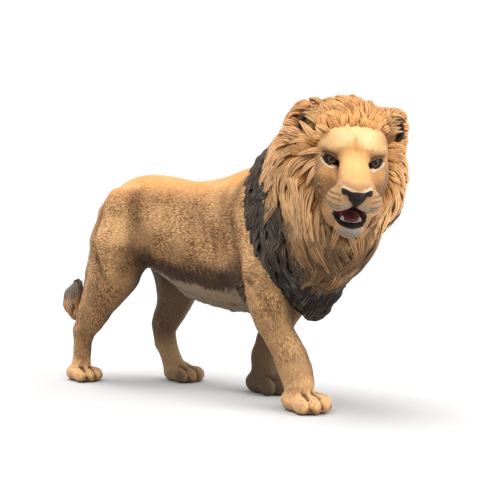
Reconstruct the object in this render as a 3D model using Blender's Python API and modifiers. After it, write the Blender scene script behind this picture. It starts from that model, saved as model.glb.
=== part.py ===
"""A painted vinyl lion figure in a walking stance, built in millimetres and written out in metres.

+X is forward, +Y is the lion's left, +Z is up and the soles are at zero.
The head turns to the right.
"""

import math

import bmesh
import bpy
import numpy as np
from mathutils import Matrix, Vector
from mathutils.bvhtree import BVHTree

MM = 0.001
GAP = 0.42  # clearance that a form is grown by before it is cut from its neighbour
SLAB = 0.3  # thickness of the parting cuts
VOXEL_BODY = 0.8
VOXEL_HEAD = 0.5
VOXEL_MANE = 0.65
RINGS = 14
SIDES = 24
SCRAP = 3.0  # cubic millimetres: loose bits under this are dropped

# Head frame: midway between the eyes, x along the muzzle, y to the lion's left, z up.
HEAD_AT = (52.4, -15.1, 59.8)
HEAD_YAW = -50.3
HEAD_PITCH = 10.8
HEAD_ROLL = -4.9
HEAD_SIZE = 1.03
EYE_SPACING = 4.75
EYE_RADIUS = 1.75
EYE_FORWARD = 0.45

# Trunk sections: station along x, top, bottom, half width.
TRUNK = (
    (-36.6, 47.5, 42, 2.5), (-35.0, 51.2, 39, 5.2), (-32.0, 54.8, 37, 7.6), (-27.5, 57.4, 35.3, 9.3),
    (-22, 58.3, 33.0, 10.0), (-14, 57.5, 29.2, 10.1), (-6, 56.2, 25.2, 10.7), (2, 56.7, 23.3, 11.8),
    (10, 57.9, 22.4, 12.5), (18, 59.3, 22.6, 12.4), (25, 59.6, 25, 11.6), (31, 57.5, 29, 10.0),
    (36, 54, 34, 7.5), (38.5, 50, 39, 3),
)
# Muzzle sections in the head frame: station, top, bottom, half width.
MUZZLE = (
    (-4, 3.5, -3, 3.0), (0, 2.6, -4, 2.9), (4, 0.6, -6, 3.3), (8, -1.8, -7.5, 3.9),
    (10.6, -3.4, -8, 4.0), (11.9, -4.6, -7.5, 3.0),
)
# Leg stops: x, y, z, radius, from the hip or shoulder down to the ankle.
HIND_RIGHT = (
    (-26.8, -8.0, 38, 9.8), (-27.9, -9.0, 31.6, 7.8), (-29.5, -9.3, 28.6, 6.7), (-31.1, -9.4, 26, 5.8),
    (-34.8, -9.4, 20.4, 4.4), (-36.8, -9.4, 17.6, 3.9), (-38.9, -9.3, 14.8, 3.1), (-40.2, -9, 12, 2.7),
    (-41.0, -8.8, 9.2, 2.7), (-41.6, -8.5, 5.5, 3.1),
)
HIND_LEFT = (
    (-21, 8.0, 38, 9.0), (-19.6, 8.6, 30, 7.2), (-20.5, 8.8, 25.6, 6.1), (-21.5, 8.9, 22.7, 5.2),
    (-22.8, 8.9, 19.9, 4.6), (-24.5, 8.8, 17, 4.2), (-25.5, 8.8, 14.1, 3.3), (-24.7, 8.6, 11.3, 3.1),
    (-23.7, 8.5, 8.4, 3.0), (-22.2, 8.4, 5.3, 3.3),
)
UPPER_RIGHT = ((25.5, -8.8, 41, 6.8), (23.8, -9.8, 33, 6.1), (24.2, -10.2, 29, 5.1))
FORE_RIGHT = (
    (24.4, -10.2, 29.0, 5.0), (25.7, -10.0, 24.9, 5.1), (26.6, -9.9, 21.5, 4.5), (28.6, -9.8, 17.8, 3.8),
    (30.4, -9.6, 15.1, 3.8), (31.7, -9.4, 12.6, 4.0), (32.8, -9.2, 9.7, 4.0), (33.6, -9.0, 6.9, 3.9),
)
UPPER_LEFT = ((26, 8.8, 41, 6.8), (22.5, 9.6, 32, 5.9), (20.5, 9.6, 29, 5.3))
FORE_LEFT = (
    (20.0, 9.6, 29.5, 5.1), (17.5, 9.2, 23.5, 4.7), (14.7, 8.8, 18, 4.0), (12.5, 8.2, 14, 3.5),
    (11.0, 7.8, 10, 3.3), (11.3, 7.5, 6, 3.6),
)
TAIL = (
    (-35.0, 0, 51.5, 3.4), (-38.9, -0.4, 47.5, 2.8), (-41.4, -1.6, 40, 2.3), (-41.8, -3.8, 30.5, 2.1),
    (-42, -5.6, 23, 1.9), (-43.2, -6.4, 18.9, 1.8),
)
TUFT = (
    (-43.2, -6.4, 18.9, 1.7), (-45.6, -6.9, 18.0, 2.1), (-46.6, -7.1, 20.7, 2.9), (-46.0, -7.2, 24, 2.7),
    (-44.4, -7.2, 28.2, 1.0),
)
TUFT_JOINT = (-44.1, -6.0, 21.0)
# Toes of a paw: sideways place, forward place, size.
TOES = ((-3.2, 2.5, 1.0), (-1.15, 3.9, 1.08), (1.15, 3.9, 1.08), (3.2, 2.5, 1.0))
# Paws: name, heel-to-toe centre on the floor, yaw, size.
PAWS = (
    ("hind_paw_right", (-40.5, -8.3), -4, 0.93),
    ("hind_paw_left", (-18.4, 8.3), -4, 1.0),
    ("fore_paw_right", (34.3, -8.6), -14, 1.13),
    ("fore_paw_left", (12.5, 7.2), -6, 1.12),
)
# Parting pods, convex and round: each leg is what lies inside its own, as x, y, z, radius.
PODS = (
    ("leg_hr", ((-25.5, -13.5, 43.5, 11.5), (-39.5, -9.0, 3.0, 9.5))),
    ("leg_hl", ((-23.0, 13.5, 43.0, 11.5), (-19.5, 9.0, 3.0, 10.5))),
    ("leg_fr", ((24.5, -14.5, 33.0, 9.0), (34.5, -9.2, 3.0, 9.6))),
    ("leg_fl", ((23.0, 14.5, 33.0, 9.0), (12.5, 8.6, 3.0, 9.6))),
)
# Most triangles in each node.
BUDGET = {
    "trunk": 1300, "neck": 300, "head": 1560, "hind_leg_right": 430, "hind_leg_left": 430,
    "fore_leg_right": 400, "fore_leg_left": 400, "hind_paw_right": 230, "hind_paw_left": 230,
    "fore_paw_right": 250, "fore_paw_left": 250, "tail": 220, "tail_tuft": 160, "ear_left": 150,
    "ear_right": 150, "mane_ruff": 1600, "mane_cape": 950, "eye_left": 150, "eye_right": 150,
    "nose": 100, "tongue": 70, "lower_teeth": 110,
}
LOCK_RINGS = (
    # distance of the ring behind the face, start radius, locks in the ring, lock length, lock radius
    (-3.0, 8.6, 18, 9.0, 1.25),
    (-7.0, 13.0, 20, 11.0, 1.4),
    (-12.0, 14.5, 18, 11.0, 1.5),
)


def turned(yaw=0.0, pitch=0.0, roll=0.0):
    """Rotation matrix: roll about x, then pitch about y, then yaw about z, in degrees."""
    yaw, pitch, roll = (math.radians(angle) for angle in (yaw, pitch, roll))
    return (
        Matrix.Rotation(yaw, 4, "Z") @ Matrix.Rotation(pitch, 4, "Y") @ Matrix.Rotation(roll, 4, "X")
    )


WORLD = Matrix.Identity(4)
HEAD = Matrix.Translation(HEAD_AT) @ turned(HEAD_YAW, HEAD_PITCH, HEAD_ROLL) @ Matrix.Scale(HEAD_SIZE, 4)


class Heap:
    """Points and faces of many overlapping closed shapes."""

    def __init__(self):
        self.points = []
        self.faces = []

    def add(self, points, faces):
        """Adds one closed shape."""
        first = len(self.points)
        self.points.extend(points)
        self.faces.extend([[first + i for i in face] for face in faces])

    def primitive(self, make, matrix, **sizes):
        """Adds a bmesh primitive, placed by a matrix."""
        bm = bmesh.new()
        make(bm, matrix=matrix, **sizes)
        bm.verts.index_update()
        faces = [[vert.index for vert in face.verts] for face in bm.faces]
        self.add([vert.co[:] for vert in bm.verts], faces)
        bm.free()


def ball(heap, centre, radii, yaw=0.0, pitch=0.0, roll=0.0, place=WORLD):
    """Ellipsoid with the given radii, turned about its centre, in a frame."""
    matrix = place @ Matrix.Translation(centre) @ turned(yaw, pitch, roll)
    matrix = matrix @ Matrix.Diagonal((*radii, 1.0))
    heap.primitive(bmesh.ops.create_uvsphere, matrix, u_segments=SIDES, v_segments=RINGS, radius=1.0)


def limb(heap, stops, flat=1.0, place=WORLD):
    """Spheres at the stops joined by cones, narrowed sideways by the flat factor."""
    for x, y, z, radius in stops:
        ball(heap, (x, y, z), (radius, radius * flat, radius), place=place)
    for start, end in zip(stops[:-1], stops[1:]):
        a = Vector(start[:3])
        b = Vector(end[:3])
        axis = b - a
        squash = Matrix.Diagonal((1.0, flat, 1.0, 1.0))
        upright = Matrix.Diagonal((1.0, 1.0 / flat, 1.0, 1.0))
        line = upright @ axis
        matrix = place @ Matrix.Translation((a + b) / 2) @ squash
        matrix = matrix @ line.to_track_quat("Z", "Y").to_matrix().to_4x4()
        heap.primitive(
            bmesh.ops.create_cone, matrix, cap_ends=True, segments=SIDES,
            radius1=start[3], radius2=end[3], depth=line.length,
        )


def loft(heap, stations, power, place=WORLD):
    """Superellipse rings at the stations, joined by faces and capped at both ends.

    Each ring is sign(cos)|cos|^(2/power) wide and sign(sin)|sin|^(2/power) high.
    """
    points = []
    for x, top, bottom, half in stations:
        for step in range(SIDES):
            angle = 2 * math.pi * step / SIDES
            c = math.cos(angle)
            s = math.sin(angle)
            wide = math.copysign(abs(c) ** (2 / power), c) * half
            high = math.copysign(abs(s) ** (2 / power), s) * (top - bottom) / 2
            points.append((place @ Vector((x, wide, (top + bottom) / 2 + high)))[:])
    faces = [list(reversed(range(SIDES))), list(range(len(points) - SIDES, len(points)))]
    for first in range(0, len(points) - SIDES, SIDES):
        for i in range(SIDES):
            j = (i + 1) % SIDES
            faces.append([first + i, first + j, first + SIDES + j, first + SIDES + i])
    heap.add(points, faces)


def densified(stations, steps=4):
    """The same stations with smooth cubic ones put between them."""
    table = np.array(stations, float)
    x = table[:, 0]
    rows = []
    slopes = np.array([np.gradient(table[:, c], x) for c in range(1, 4)]).T
    for i in range(len(x) - 1):
        width = x[i + 1] - x[i]
        for t in np.arange(steps) / steps:
            row = [x[i] + t * width]
            for c in range(3):
                rise = (2 * t**3 - 3 * t**2 + 1) * table[i, c + 1]
                rise += (3 * t**2 - 2 * t**3) * table[i + 1, c + 1]
                lean = (t**3 - 2 * t**2 + t) * slopes[i, c] + (t**3 - t**2) * slopes[i + 1, c]
                row.append(rise + width * lean)
            rows.append(tuple(row))
    rows.append(tuple(table[-1]))
    return rows


def trunk(heap):
    """Barrel, haunch top, shoulders and the root of the neck."""
    loft(heap, densified(TRUNK), 2.25)
    limb(heap, ((18, 0, 47, 11), (32, -3.5, 52, 10.0), (42, -8, 57.5, 9.0)))
    for side in (-1, 1):
        ball(heap, (20.5, 9.0 * side, 46), (8.0, 4.6, 13.0), pitch=14)
        ball(heap, (25.6, 9.0 * side, 38), (7.0, 4.8, 7.5))
        ball(heap, (17.5, 10.2 * side, 35.5), (6.0, 3.8, 7.5), pitch=-25)


def hind_leg(heap, stops, heel, thigh, thigh_radii, lean, side):
    """Thigh, shank, hamstring line and heel bone of one hind leg."""
    ball(heap, thigh, thigh_radii, pitch=lean, roll=-4 * side)
    limb(heap, stops, flat=0.76)
    hip = stops[0]
    buttock = (hip[0] - 4.2, hip[1] - 0.6 * side, hip[2] + 1, 4.2)
    limb(heap, (buttock, (heel[0] + 2.0, heel[1], heel[2] + 7, 1.7)))
    above = (heel[0] + 1.8, heel[1], heel[2] + 6, 1.6)
    below = (heel[0] + 0.9, heel[1], heel[2] - 6, 2.0)
    limb(heap, (above, (*heel, 2.0), below))


def paw(heap, foot, yaw, size):
    """Pad, heel and four toes on the floor."""
    place = Matrix.Translation((*foot, 0)) @ turned(yaw) @ Matrix.Scale(size, 4)
    ball(heap, (-1.0, 0, 2.5), (5.0, 4.3, 3.6), place=place)
    for y, x, big in TOES:
        ball(heap, (x, y, 1.9), (2.8 * big, 1.42 * big, 2.4 * big), yaw=y * 5, pitch=12, place=place)


def legs(heap):
    """All four legs with their paws."""
    hind_leg(heap, HIND_RIGHT, (-41.4, -9.2, 14.4), (-26.2, -7.6, 41.5), (9.0, 5.6, 13.4), 8, -1)
    hind_leg(heap, HIND_LEFT, (-27.5, 8.8, 15.6), (-22.5, 7.8, 42), (9.4, 5.8, 12.6), 4, 1)
    limb(heap, UPPER_RIGHT, flat=0.88)
    limb(heap, FORE_RIGHT, flat=0.96)
    ball(heap, (20.6, -10.2, 28.8), (2.3, 2.4, 3.1))
    limb(heap, UPPER_LEFT, flat=0.88)
    limb(heap, FORE_LEFT, flat=0.96)
    ball(heap, (8.6, 7.8, 8.6), (1.4, 1.8, 2.0))
    for _, foot, yaw, size in PAWS:
        paw(heap, foot, yaw, size)


def body(heap):
    """Trunk and legs as one form."""
    trunk(heap)
    legs(heap)


def tail(heap):
    """Tail hanging behind the right hock, its tuft curled up beside it."""
    limb(heap, TAIL)
    limb(heap, TUFT)


def head(heap):
    """Skull, brows, cheeks, muzzle, whisker pads and lower jaw."""
    ball(heap, (-8.5, 0, 2.2), (9.5, 8.4, 8.0), place=HEAD)
    ball(heap, (-3.4, 0, 3.2), (6.1, 7.5, 5.7), place=HEAD)
    ball(heap, (-4.0, 0, -5.5), (7.6, 7.5, 7.6), place=HEAD)
    loft(heap, densified(MUZZLE), 2.9, HEAD)
    for side in (-1, 1):
        ball(heap, (-1.6, 5.0 * side, 2.8), (3.1, 3.3, 1.8), yaw=-20 * side, roll=-8 * side, place=HEAD)
        ball(heap, (-3.2, 5.8 * side, -3.4), (5.7, 3.1, 4.7), place=HEAD)
        ball(heap, (7.9, 2.9 * side, -7.4), (3.8, 3.1, 2.8), yaw=8 * side, place=HEAD)
        limb(heap, ((-6, 4.4 * side, -9.5, 3.7), (2.5, 2.9 * side, -12.4, 2.4)), place=HEAD)
    limb(heap, ((-5, 0, -11, 4.5), (4.0, 0, -13.2, 2.6), (6.8, 0, -13.7, 2.3)), place=HEAD)


def mouth(heap, grow=0.0):
    """Room inside the open mouth."""
    ball(heap, (7.6, 0, -11.1), (6.6 + grow, 3.6 + grow, 2.1 + grow), pitch=8, place=HEAD)


def eye_rooms(heap):
    """Sockets, a gap wider than the eyeballs, opening to the front."""
    for side in (-1, 1):
        wide = EYE_RADIUS + 0.3
        ball(heap, (EYE_FORWARD, EYE_SPACING * side, 0.0), (wide, wide, wide), place=HEAD)


def tongue(heap):
    """Tongue lying inside the mouth."""
    limb(heap, ((4.8, 0, -11.2, 0.9), (6.0, 0, -11.6, 0.9), (6.8, 0, -11.7, 0.6)), place=HEAD)


def lower_teeth(heap):
    """Two canines and the low row between them, on the rim of the lower jaw."""
    row = []
    for side in (-1, 1):
        limb(heap, ((7.6, 1.75 * side, -13.3, 0.62), (7.9, 1.85 * side, -11.1, 0.25)), place=HEAD)
        row.append((7.7, 1.6 * side, -13.2, 0.55))
        row.insert(1, (8.4, 0.7 * side, -13.2, 0.55))
    limb(heap, (row[0], row[2], row[1], row[3]), place=HEAD)


def ear(heap, side, grow=0.0):
    """Rounded upright ear."""
    ball(
        heap, (-7.0, 8.9 * side, 6.2), (2.0 + grow, 3.3 + grow, 3.6 + grow),
        yaw=-24 * side, roll=-22 * side, place=HEAD,
    )


def ear_hollow(heap, side):
    """Cup in the front of an ear."""
    ball(
        heap, (-5.1, 8.7 * side, 6.5), (2.1, 2.5, 2.9),
        yaw=-24 * side, roll=-22 * side, place=HEAD,
    )


def mane(heap):
    """Mass of the mane: crown, cheek ruffs, beard, cape over the shoulders, chest."""
    ball(heap, (-8.6, -0.8, 4.0), (8.0, 10.6, 8.8), place=HEAD)
    ball(heap, (-10.5, -8.8, -3), (7.0, 6.6, 10.6), place=HEAD)
    ball(heap, (-9.8, 7.4, -5), (6.6, 6.6, 10.6), place=HEAD)
    throat = HEAD @ Vector((-9, 0, -9))
    beard = HEAD @ Vector((-5.5, -1.0, -19))
    point = HEAD @ Vector((-4.0, -1.5, -26.5))
    limb(heap, ((*throat, 11.6), (*beard, 8.2), (*point, 3.4)))
    limb(heap, ((21, 0, 50, 11.3), (32, -3, 53, 12.8), (40, -7, 57, 12.9)))
    limb(heap, ((29, -2, 45, 12.2), (33, -4, 37, 9.6), (35.0, -5, 29, 5.6), (35.6, -5, 23.5, 2.6)))
    ball(heap, (27.0, -8.8, 40.5), (6.0, 6.6, 9.0), pitch=-14)
    ball(heap, (27.0, 6.2, 41.5), (6.0, 6.6, 9.0), pitch=-14)


def flow(point):
    """Hair direction at a point: outward from the face, then back and ever more downward."""
    local = HEAD.inverted() @ point
    outward = HEAD.to_3x3() @ Vector((0.0, local.y, local.z + 2.0)).normalized()
    back = HEAD.to_3x3() @ Vector((-1.0, 0.0, 0.0))
    far = min(max((-local.x - 4.0) / 12.0, 0.0), 1.0)
    low = min(max((4.0 - local.z) / 14.0, 0.0), 1.0)
    down = Vector((0.0, 0.0, -1.0))
    fall = down * (0.25 + 1.2 * low + 0.5 * far)
    return (outward * (1.1 - far) + back * 0.7 * (1.0 - low) + fall).normalized()


def locks(heap, base):
    """Tapered locks laid over the mass of the mane, following the flow."""
    tree = BVHTree.FromObject(base, bpy.context.evaluated_depsgraph_get())
    for back, radius, count, length, thick in LOCK_RINGS:
        for step in range(count):
            angle = 2 * math.pi * (step + 0.5 * (count % 4 == 0)) / count
            start = HEAD @ Vector((back, radius * math.sin(angle), radius * math.cos(angle) - 2.0))
            spot, normal, _, _ = tree.find_nearest(start)
            stops = []
            for along in np.linspace(0.0, 1.0, 7):
                swell = thick * (0.35 + 1.5 * along) * (1.0 - along**3) + 0.25
                stops.append((*(spot + normal * 0.15), swell))
                heading = flow(spot)
                heading = (heading - normal * heading.dot(normal)).normalized()
                spot, normal, _, _ = tree.find_nearest(spot + heading * length / 6)
            limb(heap, stops)


def made(name, collection, fill):
    """New object in a collection from a function that fills a heap."""
    heap = Heap()
    fill(heap)
    mesh = bpy.data.meshes.new(name)
    mesh.from_pydata(heap.points, [], heap.faces)
    bm = bmesh.new()
    bm.from_mesh(mesh)
    bmesh.ops.recalc_face_normals(bm, faces=bm.faces)
    bm.to_mesh(mesh)
    bm.free()
    obj = bpy.data.objects.new(name, mesh)
    collection.objects.link(obj)
    return obj


def fuse(obj, voxel, smooth, grow=0.0, keep=None):
    """Adds the modifiers that melt overlapping shapes into one skin, grow it and thin its faces."""
    melt = obj.modifiers.new("melt", "REMESH")
    melt.mode = "VOXEL"
    melt.voxel_size = voxel
    soft = obj.modifiers.new("soft", "SMOOTH")
    soft.factor = 0.5
    soft.iterations = smooth
    if grow:
        swell = obj.modifiers.new("swell", "DISPLACE")
        swell.strength = grow
        swell.mid_level = 0.0
        again = obj.modifiers.new("again", "REMESH")
        again.mode = "VOXEL"
        again.voxel_size = voxel
    if keep:
        thin = obj.modifiers.new("thin", "DECIMATE")
        thin.ratio = keep
    return settle(obj)


def cut(obj, tool, mode="DIFFERENCE"):
    """Boolean of the object with a tool."""
    knife = obj.modifiers.new("cut_" + tool.name, "BOOLEAN")
    knife.operation = mode
    knife.solver = "EXACT"
    knife.object = tool
    return settle(obj)


def slab(name, collection, at, size, yaw=0.0, pitch=0.0, roll=0.0, place=WORLD):
    """Box cutter of the given size, turned about its centre."""
    matrix = place @ Matrix.Translation(at) @ turned(yaw, pitch, roll) @ Matrix.Diagonal((*size, 1.0))

    def fill(heap):
        heap.primitive(bmesh.ops.create_cube, matrix, size=1.0)

    return made(name, collection, fill)


def pod(name, collection, stops, grow=0.0):
    """Convex hull of a row of balls, grown by a clearance."""
    heap = Heap()
    for x, y, z, radius in stops:
        ball(heap, (x, y, z), (radius + grow,) * 3)
    bm = bmesh.new()
    for point in heap.points:
        bm.verts.new(point)
    bmesh.ops.convex_hull(bm, input=bm.verts)
    bmesh.ops.delete(bm, geom=[vert for vert in bm.verts if not vert.link_faces], context="VERTS")
    bmesh.ops.recalc_face_normals(bm, faces=bm.faces)
    mesh = bpy.data.meshes.new(name)
    bm.to_mesh(mesh)
    bm.free()
    obj = bpy.data.objects.new(name, mesh)
    collection.objects.link(obj)
    return obj


def settle(obj):
    """Replaces an object's mesh and modifiers by its evaluated mesh."""
    graph = bpy.context.evaluated_depsgraph_get()
    mesh = bpy.data.meshes.new_from_object(obj.evaluated_get(graph))
    obj.modifiers.clear()
    obj.data = mesh
    return obj


def pieces(obj, scrap=SCRAP):
    """Separate closed shells of the evaluated object, as (volume, points, faces), largest first."""
    evaluated = obj.evaluated_get(bpy.context.evaluated_depsgraph_get())
    mesh = evaluated.to_mesh()
    bm = bmesh.new()
    bm.from_mesh(mesh)
    evaluated.to_mesh_clear()
    bmesh.ops.triangulate(bm, faces=bm.faces)
    bmesh.ops.remove_doubles(bm, verts=bm.verts, dist=0.004)
    bmesh.ops.dissolve_degenerate(bm, edges=bm.edges, dist=0.004)
    bmesh.ops.triangulate(bm, faces=bm.faces)
    bm.verts.ensure_lookup_table()
    seen = set()
    found = []
    for seed in bm.verts:
        if seed in seen or not seed.link_faces:
            continue
        group = [seed]
        seen.add(seed)
        for vert in group:
            for edge in vert.link_edges:
                other = edge.other_vert(vert)
                if other not in seen:
                    seen.add(other)
                    group.append(other)
        index = {vert: i for i, vert in enumerate(group)}
        faces = [[index[v] for v in face.verts] for face in bm.faces if face.verts[0] in index]
        points = np.array([vert.co for vert in group])
        a, b, c = (points[np.array(faces)[:, i]] for i in range(3))
        found.append((float(np.einsum("ij,ij->i", a, np.cross(b, c)).sum()) / 6, points, faces))
    bm.free()
    found = [item for item in found if abs(item[0]) > scrap]
    return sorted(found, key=lambda item: -abs(item[0]))


def nearest(shells, mark):
    """The shell with a vertex closest to a mark."""
    return min(shells, key=lambda item: np.linalg.norm(item[1] - np.array(mark), axis=1).min())


def thinned(name, points, faces, collection):
    """Object with no more triangles than its budget, its soles kept at zero."""
    mesh = bpy.data.meshes.new(name)
    mesh.from_pydata(points.tolist(), [], faces)
    obj = bpy.data.objects.new(name, mesh)
    collection.objects.link(obj)
    thin = obj.modifiers.new("thin", "DECIMATE")
    thin.ratio = min(1.0, BUDGET[name] / len(faces))
    thin.use_collapse_triangulate = True
    settle(obj)
    spots = np.empty(len(obj.data.vertices) * 3)
    obj.data.vertices.foreach_get("co", spots)
    spots = spots.reshape(-1, 3)
    if "paw" in name:
        spots[spots[:, 2] < 0.06, 2] = 0.0
    obj.data.vertices.foreach_set("co", spots.ravel())
    return obj, spots


def painted(name, colour, roughness):
    """Plain painted vinyl."""
    material = bpy.data.materials.new(name)
    material.use_nodes = True
    shader = material.node_tree.nodes["Principled BSDF"]
    shader.inputs["Base Color"].default_value = (*colour, 1.0)
    shader.inputs["Roughness"].default_value = roughness
    shader.inputs["Metallic"].default_value = 0.0
    return material


def build():
    """Builds every form, parts it into nodes, then writes them centred on the floor."""
    for obj in list(bpy.data.objects):
        bpy.data.objects.remove(obj, do_unlink=True)
    root = bpy.context.scene.collection
    lion = bpy.data.collections.new("lion")
    tools = bpy.data.collections.new("cutters")
    tools.hide_render = True
    root.children.link(lion)
    root.children.link(tools)

    paint = {
        "hide": painted("hide_tan", (0.42, 0.20, 0.07), 0.62),
        "gold": painted("mane_gold", (0.36, 0.18, 0.07), 0.65),
        "dark": painted("mane_dark", (0.035, 0.022, 0.017), 0.65),
        "grey": painted("tuft_grey", (0.10, 0.075, 0.06), 0.65),
        "amber": painted("eye_amber", (0.20, 0.07, 0.015), 0.2),
        "black": painted("nose_black", (0.02, 0.014, 0.012), 0.35),
        "ivory": painted("tooth_ivory", (0.75, 0.70, 0.60), 0.4),
        "red": painted("tongue_red", (0.20, 0.03, 0.03), 0.45),
    }
    nodes = []

    def add(name, shell, colour):
        nodes.append((name, shell[1], shell[2], paint[colour]))

    floor = slab("floor_cut", tools, (0, 0, -10), (200, 100, 20))
    head_big = fuse(made("head_big", tools, head), VOXEL_HEAD, 4, GAP, 0.05)
    body_big = fuse(made("body_big", tools, body), VOXEL_BODY, 3, GAP, 0.07)
    mouth_room = made("mouth_room", tools, mouth)
    sockets = made("sockets", tools, eye_rooms)

    whole = fuse(made("body_form", tools, body), VOXEL_BODY, 3, keep=0.075)
    cut(whole, floor)
    cut(whole, head_big)
    for name, stops in PODS:
        leg = bpy.data.objects.new(name, whole.data.copy())
        tools.objects.link(leg)
        cut(leg, pod(name + "_pod", tools, stops), "INTERSECT")
        cut(whole, pod(name + "_room", tools, stops, SLAB))
        fore = "_f" in name
        _, foot, yaw, _ = PAWS[("leg_hr", "leg_hl", "leg_fr", "leg_fl").index(name)]
        at = (foot[0] - (0.6 if fore else 1.4), foot[1], 6.0 if fore else 5.6)
        cut(leg, slab("ankle_cut", tools, at, (19, 18, SLAB), yaw, 14 if fore else -4))
        shells = pieces(leg)
        label = ("fore" if fore else "hind") + "_{}_" + ("left" if name.endswith("l") else "right")
        add(label.format("leg"), max(shells, key=lambda item: item[1][:, 2].max()), "hide")
        add(label.format("paw"), min(shells, key=lambda item: item[1][:, 2].min()), "hide")
    cut(whole, slab("neck_cut", tools, (29.5, -2, 50), (SLAB, 60, 60), yaw=-14, pitch=-24))
    shells = pieces(whole)
    add("trunk", nearest(shells, (0, -11, 42)), "hide")
    add("neck", nearest(shells, (38, -7, 60)), "hide")

    skull = fuse(made("head_form", tools, head), VOXEL_HEAD, 4, keep=0.055)
    cut(cut(skull, mouth_room), sockets)
    add("head", pieces(skull)[0], "hide")

    tail_form = fuse(made("tail_form", tools, tail), 0.6, 3, keep=0.09)
    cut(tail_form, body_big)
    cut(tail_form, slab("tuft_cut", tools, TUFT_JOINT, (SLAB, 14, 18), yaw=21, pitch=6))
    shells = pieces(tail_form)
    add("tail", nearest(shells, (-41.5, -2, 40)), "hide")
    add("tail_tuft", nearest(shells, (-46.5, -7, 24)), "grey")

    ear_tools = []
    for side, label in ((1, "left"), (-1, "right")):
        shape = fuse(made("ear_form", tools, lambda heap: ear(heap, side)), 0.35, 1, keep=0.06)
        hollow = made("ear_hollow", tools, lambda heap: ear_hollow(heap, side))
        cut(cut(shape, hollow), head_big)
        add("ear_" + label, pieces(shape)[0], "hide")
        ear_tools.append(made("ear_room", tools, lambda heap: ear(heap, side, 0.35)))

    mass = fuse(made("mane_mass", tools, mane), 1.0, 4)

    def tufted(heap):
        mane(heap)
        locks(heap, mass)

    cover = fuse(made("mane_form", tools, tufted), VOXEL_MANE, 2, keep=0.06)
    cut(cover, head_big)
    cut(cover, body_big)
    for room in ear_tools:
        cut(cover, room)
    cut(cover, slab("cape_cut", tools, (-11.5, 0, -14), (SLAB, 90, 90), pitch=-6, place=HEAD))
    shells = pieces(cover)
    add("mane_ruff", nearest(shells, HEAD @ Vector((-6, 0, 13))), "gold")
    add("mane_cape", nearest(shells, (24, 0, 62)), "dark")

    for side, label in ((1, "left"), (-1, "right")):
        eye = made(
            "eye_form", tools,
            lambda heap: ball(
                heap, (EYE_FORWARD, EYE_SPACING * side, 0.0), (EYE_RADIUS,) * 3, place=HEAD,
            ),
        )
        add("eye_" + label, pieces(fuse(eye, 0.3, 1, keep=0.2))[0], "amber")

    def nose_pad(heap):
        ball(heap, (11.2, 0, -4.9), (1.9, 2.9, 1.5), pitch=32, place=HEAD)
        ball(heap, (11.9, 0, -6.2), (1.1, 1.3, 1.5), place=HEAD)

    nose = fuse(made("nose_form", tools, nose_pad), 0.4, 2, keep=0.2)
    cut(nose, head_big)
    shells = pieces(nose)
    if shells:
        add("nose", shells[0], "black")

    add("tongue", pieces(fuse(made("tongue_form", tools, tongue), 0.3, 2, keep=0.12))[0], "red")
    teeth = fuse(made("teeth_form", tools, lower_teeth), 0.22, 1, keep=0.12)
    open_head = bpy.data.objects.new("open_head", head_big.data.copy())
    tools.objects.link(open_head)
    cut(open_head, made("mouth_inner", tools, lambda heap: mouth(heap, -0.35)))
    cut(teeth, open_head)
    shells = pieces(teeth, 0.3)
    add("lower_teeth", shells[0], "ivory")

    finished = []
    for name, points, faces, material in nodes:
        obj, spots = thinned(name, points, faces, lion)
        obj.data.materials.clear()
        obj.data.materials.append(material)
        finished.append((obj, spots))
    low = np.min([spots[:, :2].min(0) for _, spots in finished], axis=0)
    high = np.max([spots[:, :2].max(0) for _, spots in finished], axis=0)
    centre = np.array((*((low + high) / 2), 0.0))
    for obj, spots in finished:
        obj.data.vertices.foreach_set("co", ((spots - centre) * MM).ravel())
        obj.data.shade_smooth()
        obj.data.update()
    for obj in tools.objects:
        obj.hide_render = True
        obj.display_type = "WIRE"


build()
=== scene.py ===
"""A painted vinyl lion figure: sculpted hide, face and layered mane locks, in a soft studio.

Shapes are worked out in millimetres in the lion's own frame (+X forward, +Y its left, +Z up, soles
at zero) and put into metres by `placed`.
"""

import itertools
import math

import bpy
import numpy as np
from mathutils import Matrix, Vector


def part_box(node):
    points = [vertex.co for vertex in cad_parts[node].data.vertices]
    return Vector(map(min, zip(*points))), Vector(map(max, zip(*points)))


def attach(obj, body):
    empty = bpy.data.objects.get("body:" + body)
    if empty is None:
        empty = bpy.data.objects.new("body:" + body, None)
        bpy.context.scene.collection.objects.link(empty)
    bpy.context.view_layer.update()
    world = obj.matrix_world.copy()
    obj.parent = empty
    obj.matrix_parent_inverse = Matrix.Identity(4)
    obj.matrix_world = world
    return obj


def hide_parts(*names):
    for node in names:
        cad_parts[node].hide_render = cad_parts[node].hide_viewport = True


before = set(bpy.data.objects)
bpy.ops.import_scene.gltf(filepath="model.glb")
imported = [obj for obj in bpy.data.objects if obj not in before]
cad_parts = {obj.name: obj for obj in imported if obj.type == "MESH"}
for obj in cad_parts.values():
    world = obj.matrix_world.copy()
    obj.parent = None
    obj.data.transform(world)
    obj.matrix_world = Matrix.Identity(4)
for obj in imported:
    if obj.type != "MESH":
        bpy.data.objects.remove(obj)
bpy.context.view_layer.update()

MM = 0.001
SEED = 11
BODY_STEP = 0.62
HEAD_STEP = 0.27
MANE_STEP = 0.6
TUFT_STEP = 0.4
EAR_STEP = 0.2
NOSE_STEP = 0.12

HEAD_AT = (52.4, -15.1, 59.8)
HEAD_TURN = (-50.3, 10.8, -4.9)
HEAD_SIZE = 1.03
EYE_SPACING = 4.6
EYE_NODE_SPACING = 4.75  # of the eye nodes in the model
EYE_FORWARD = 0.45
EYE_RADIUS = 1.75


# ---------------------------------------------------------------- frames and colours


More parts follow.
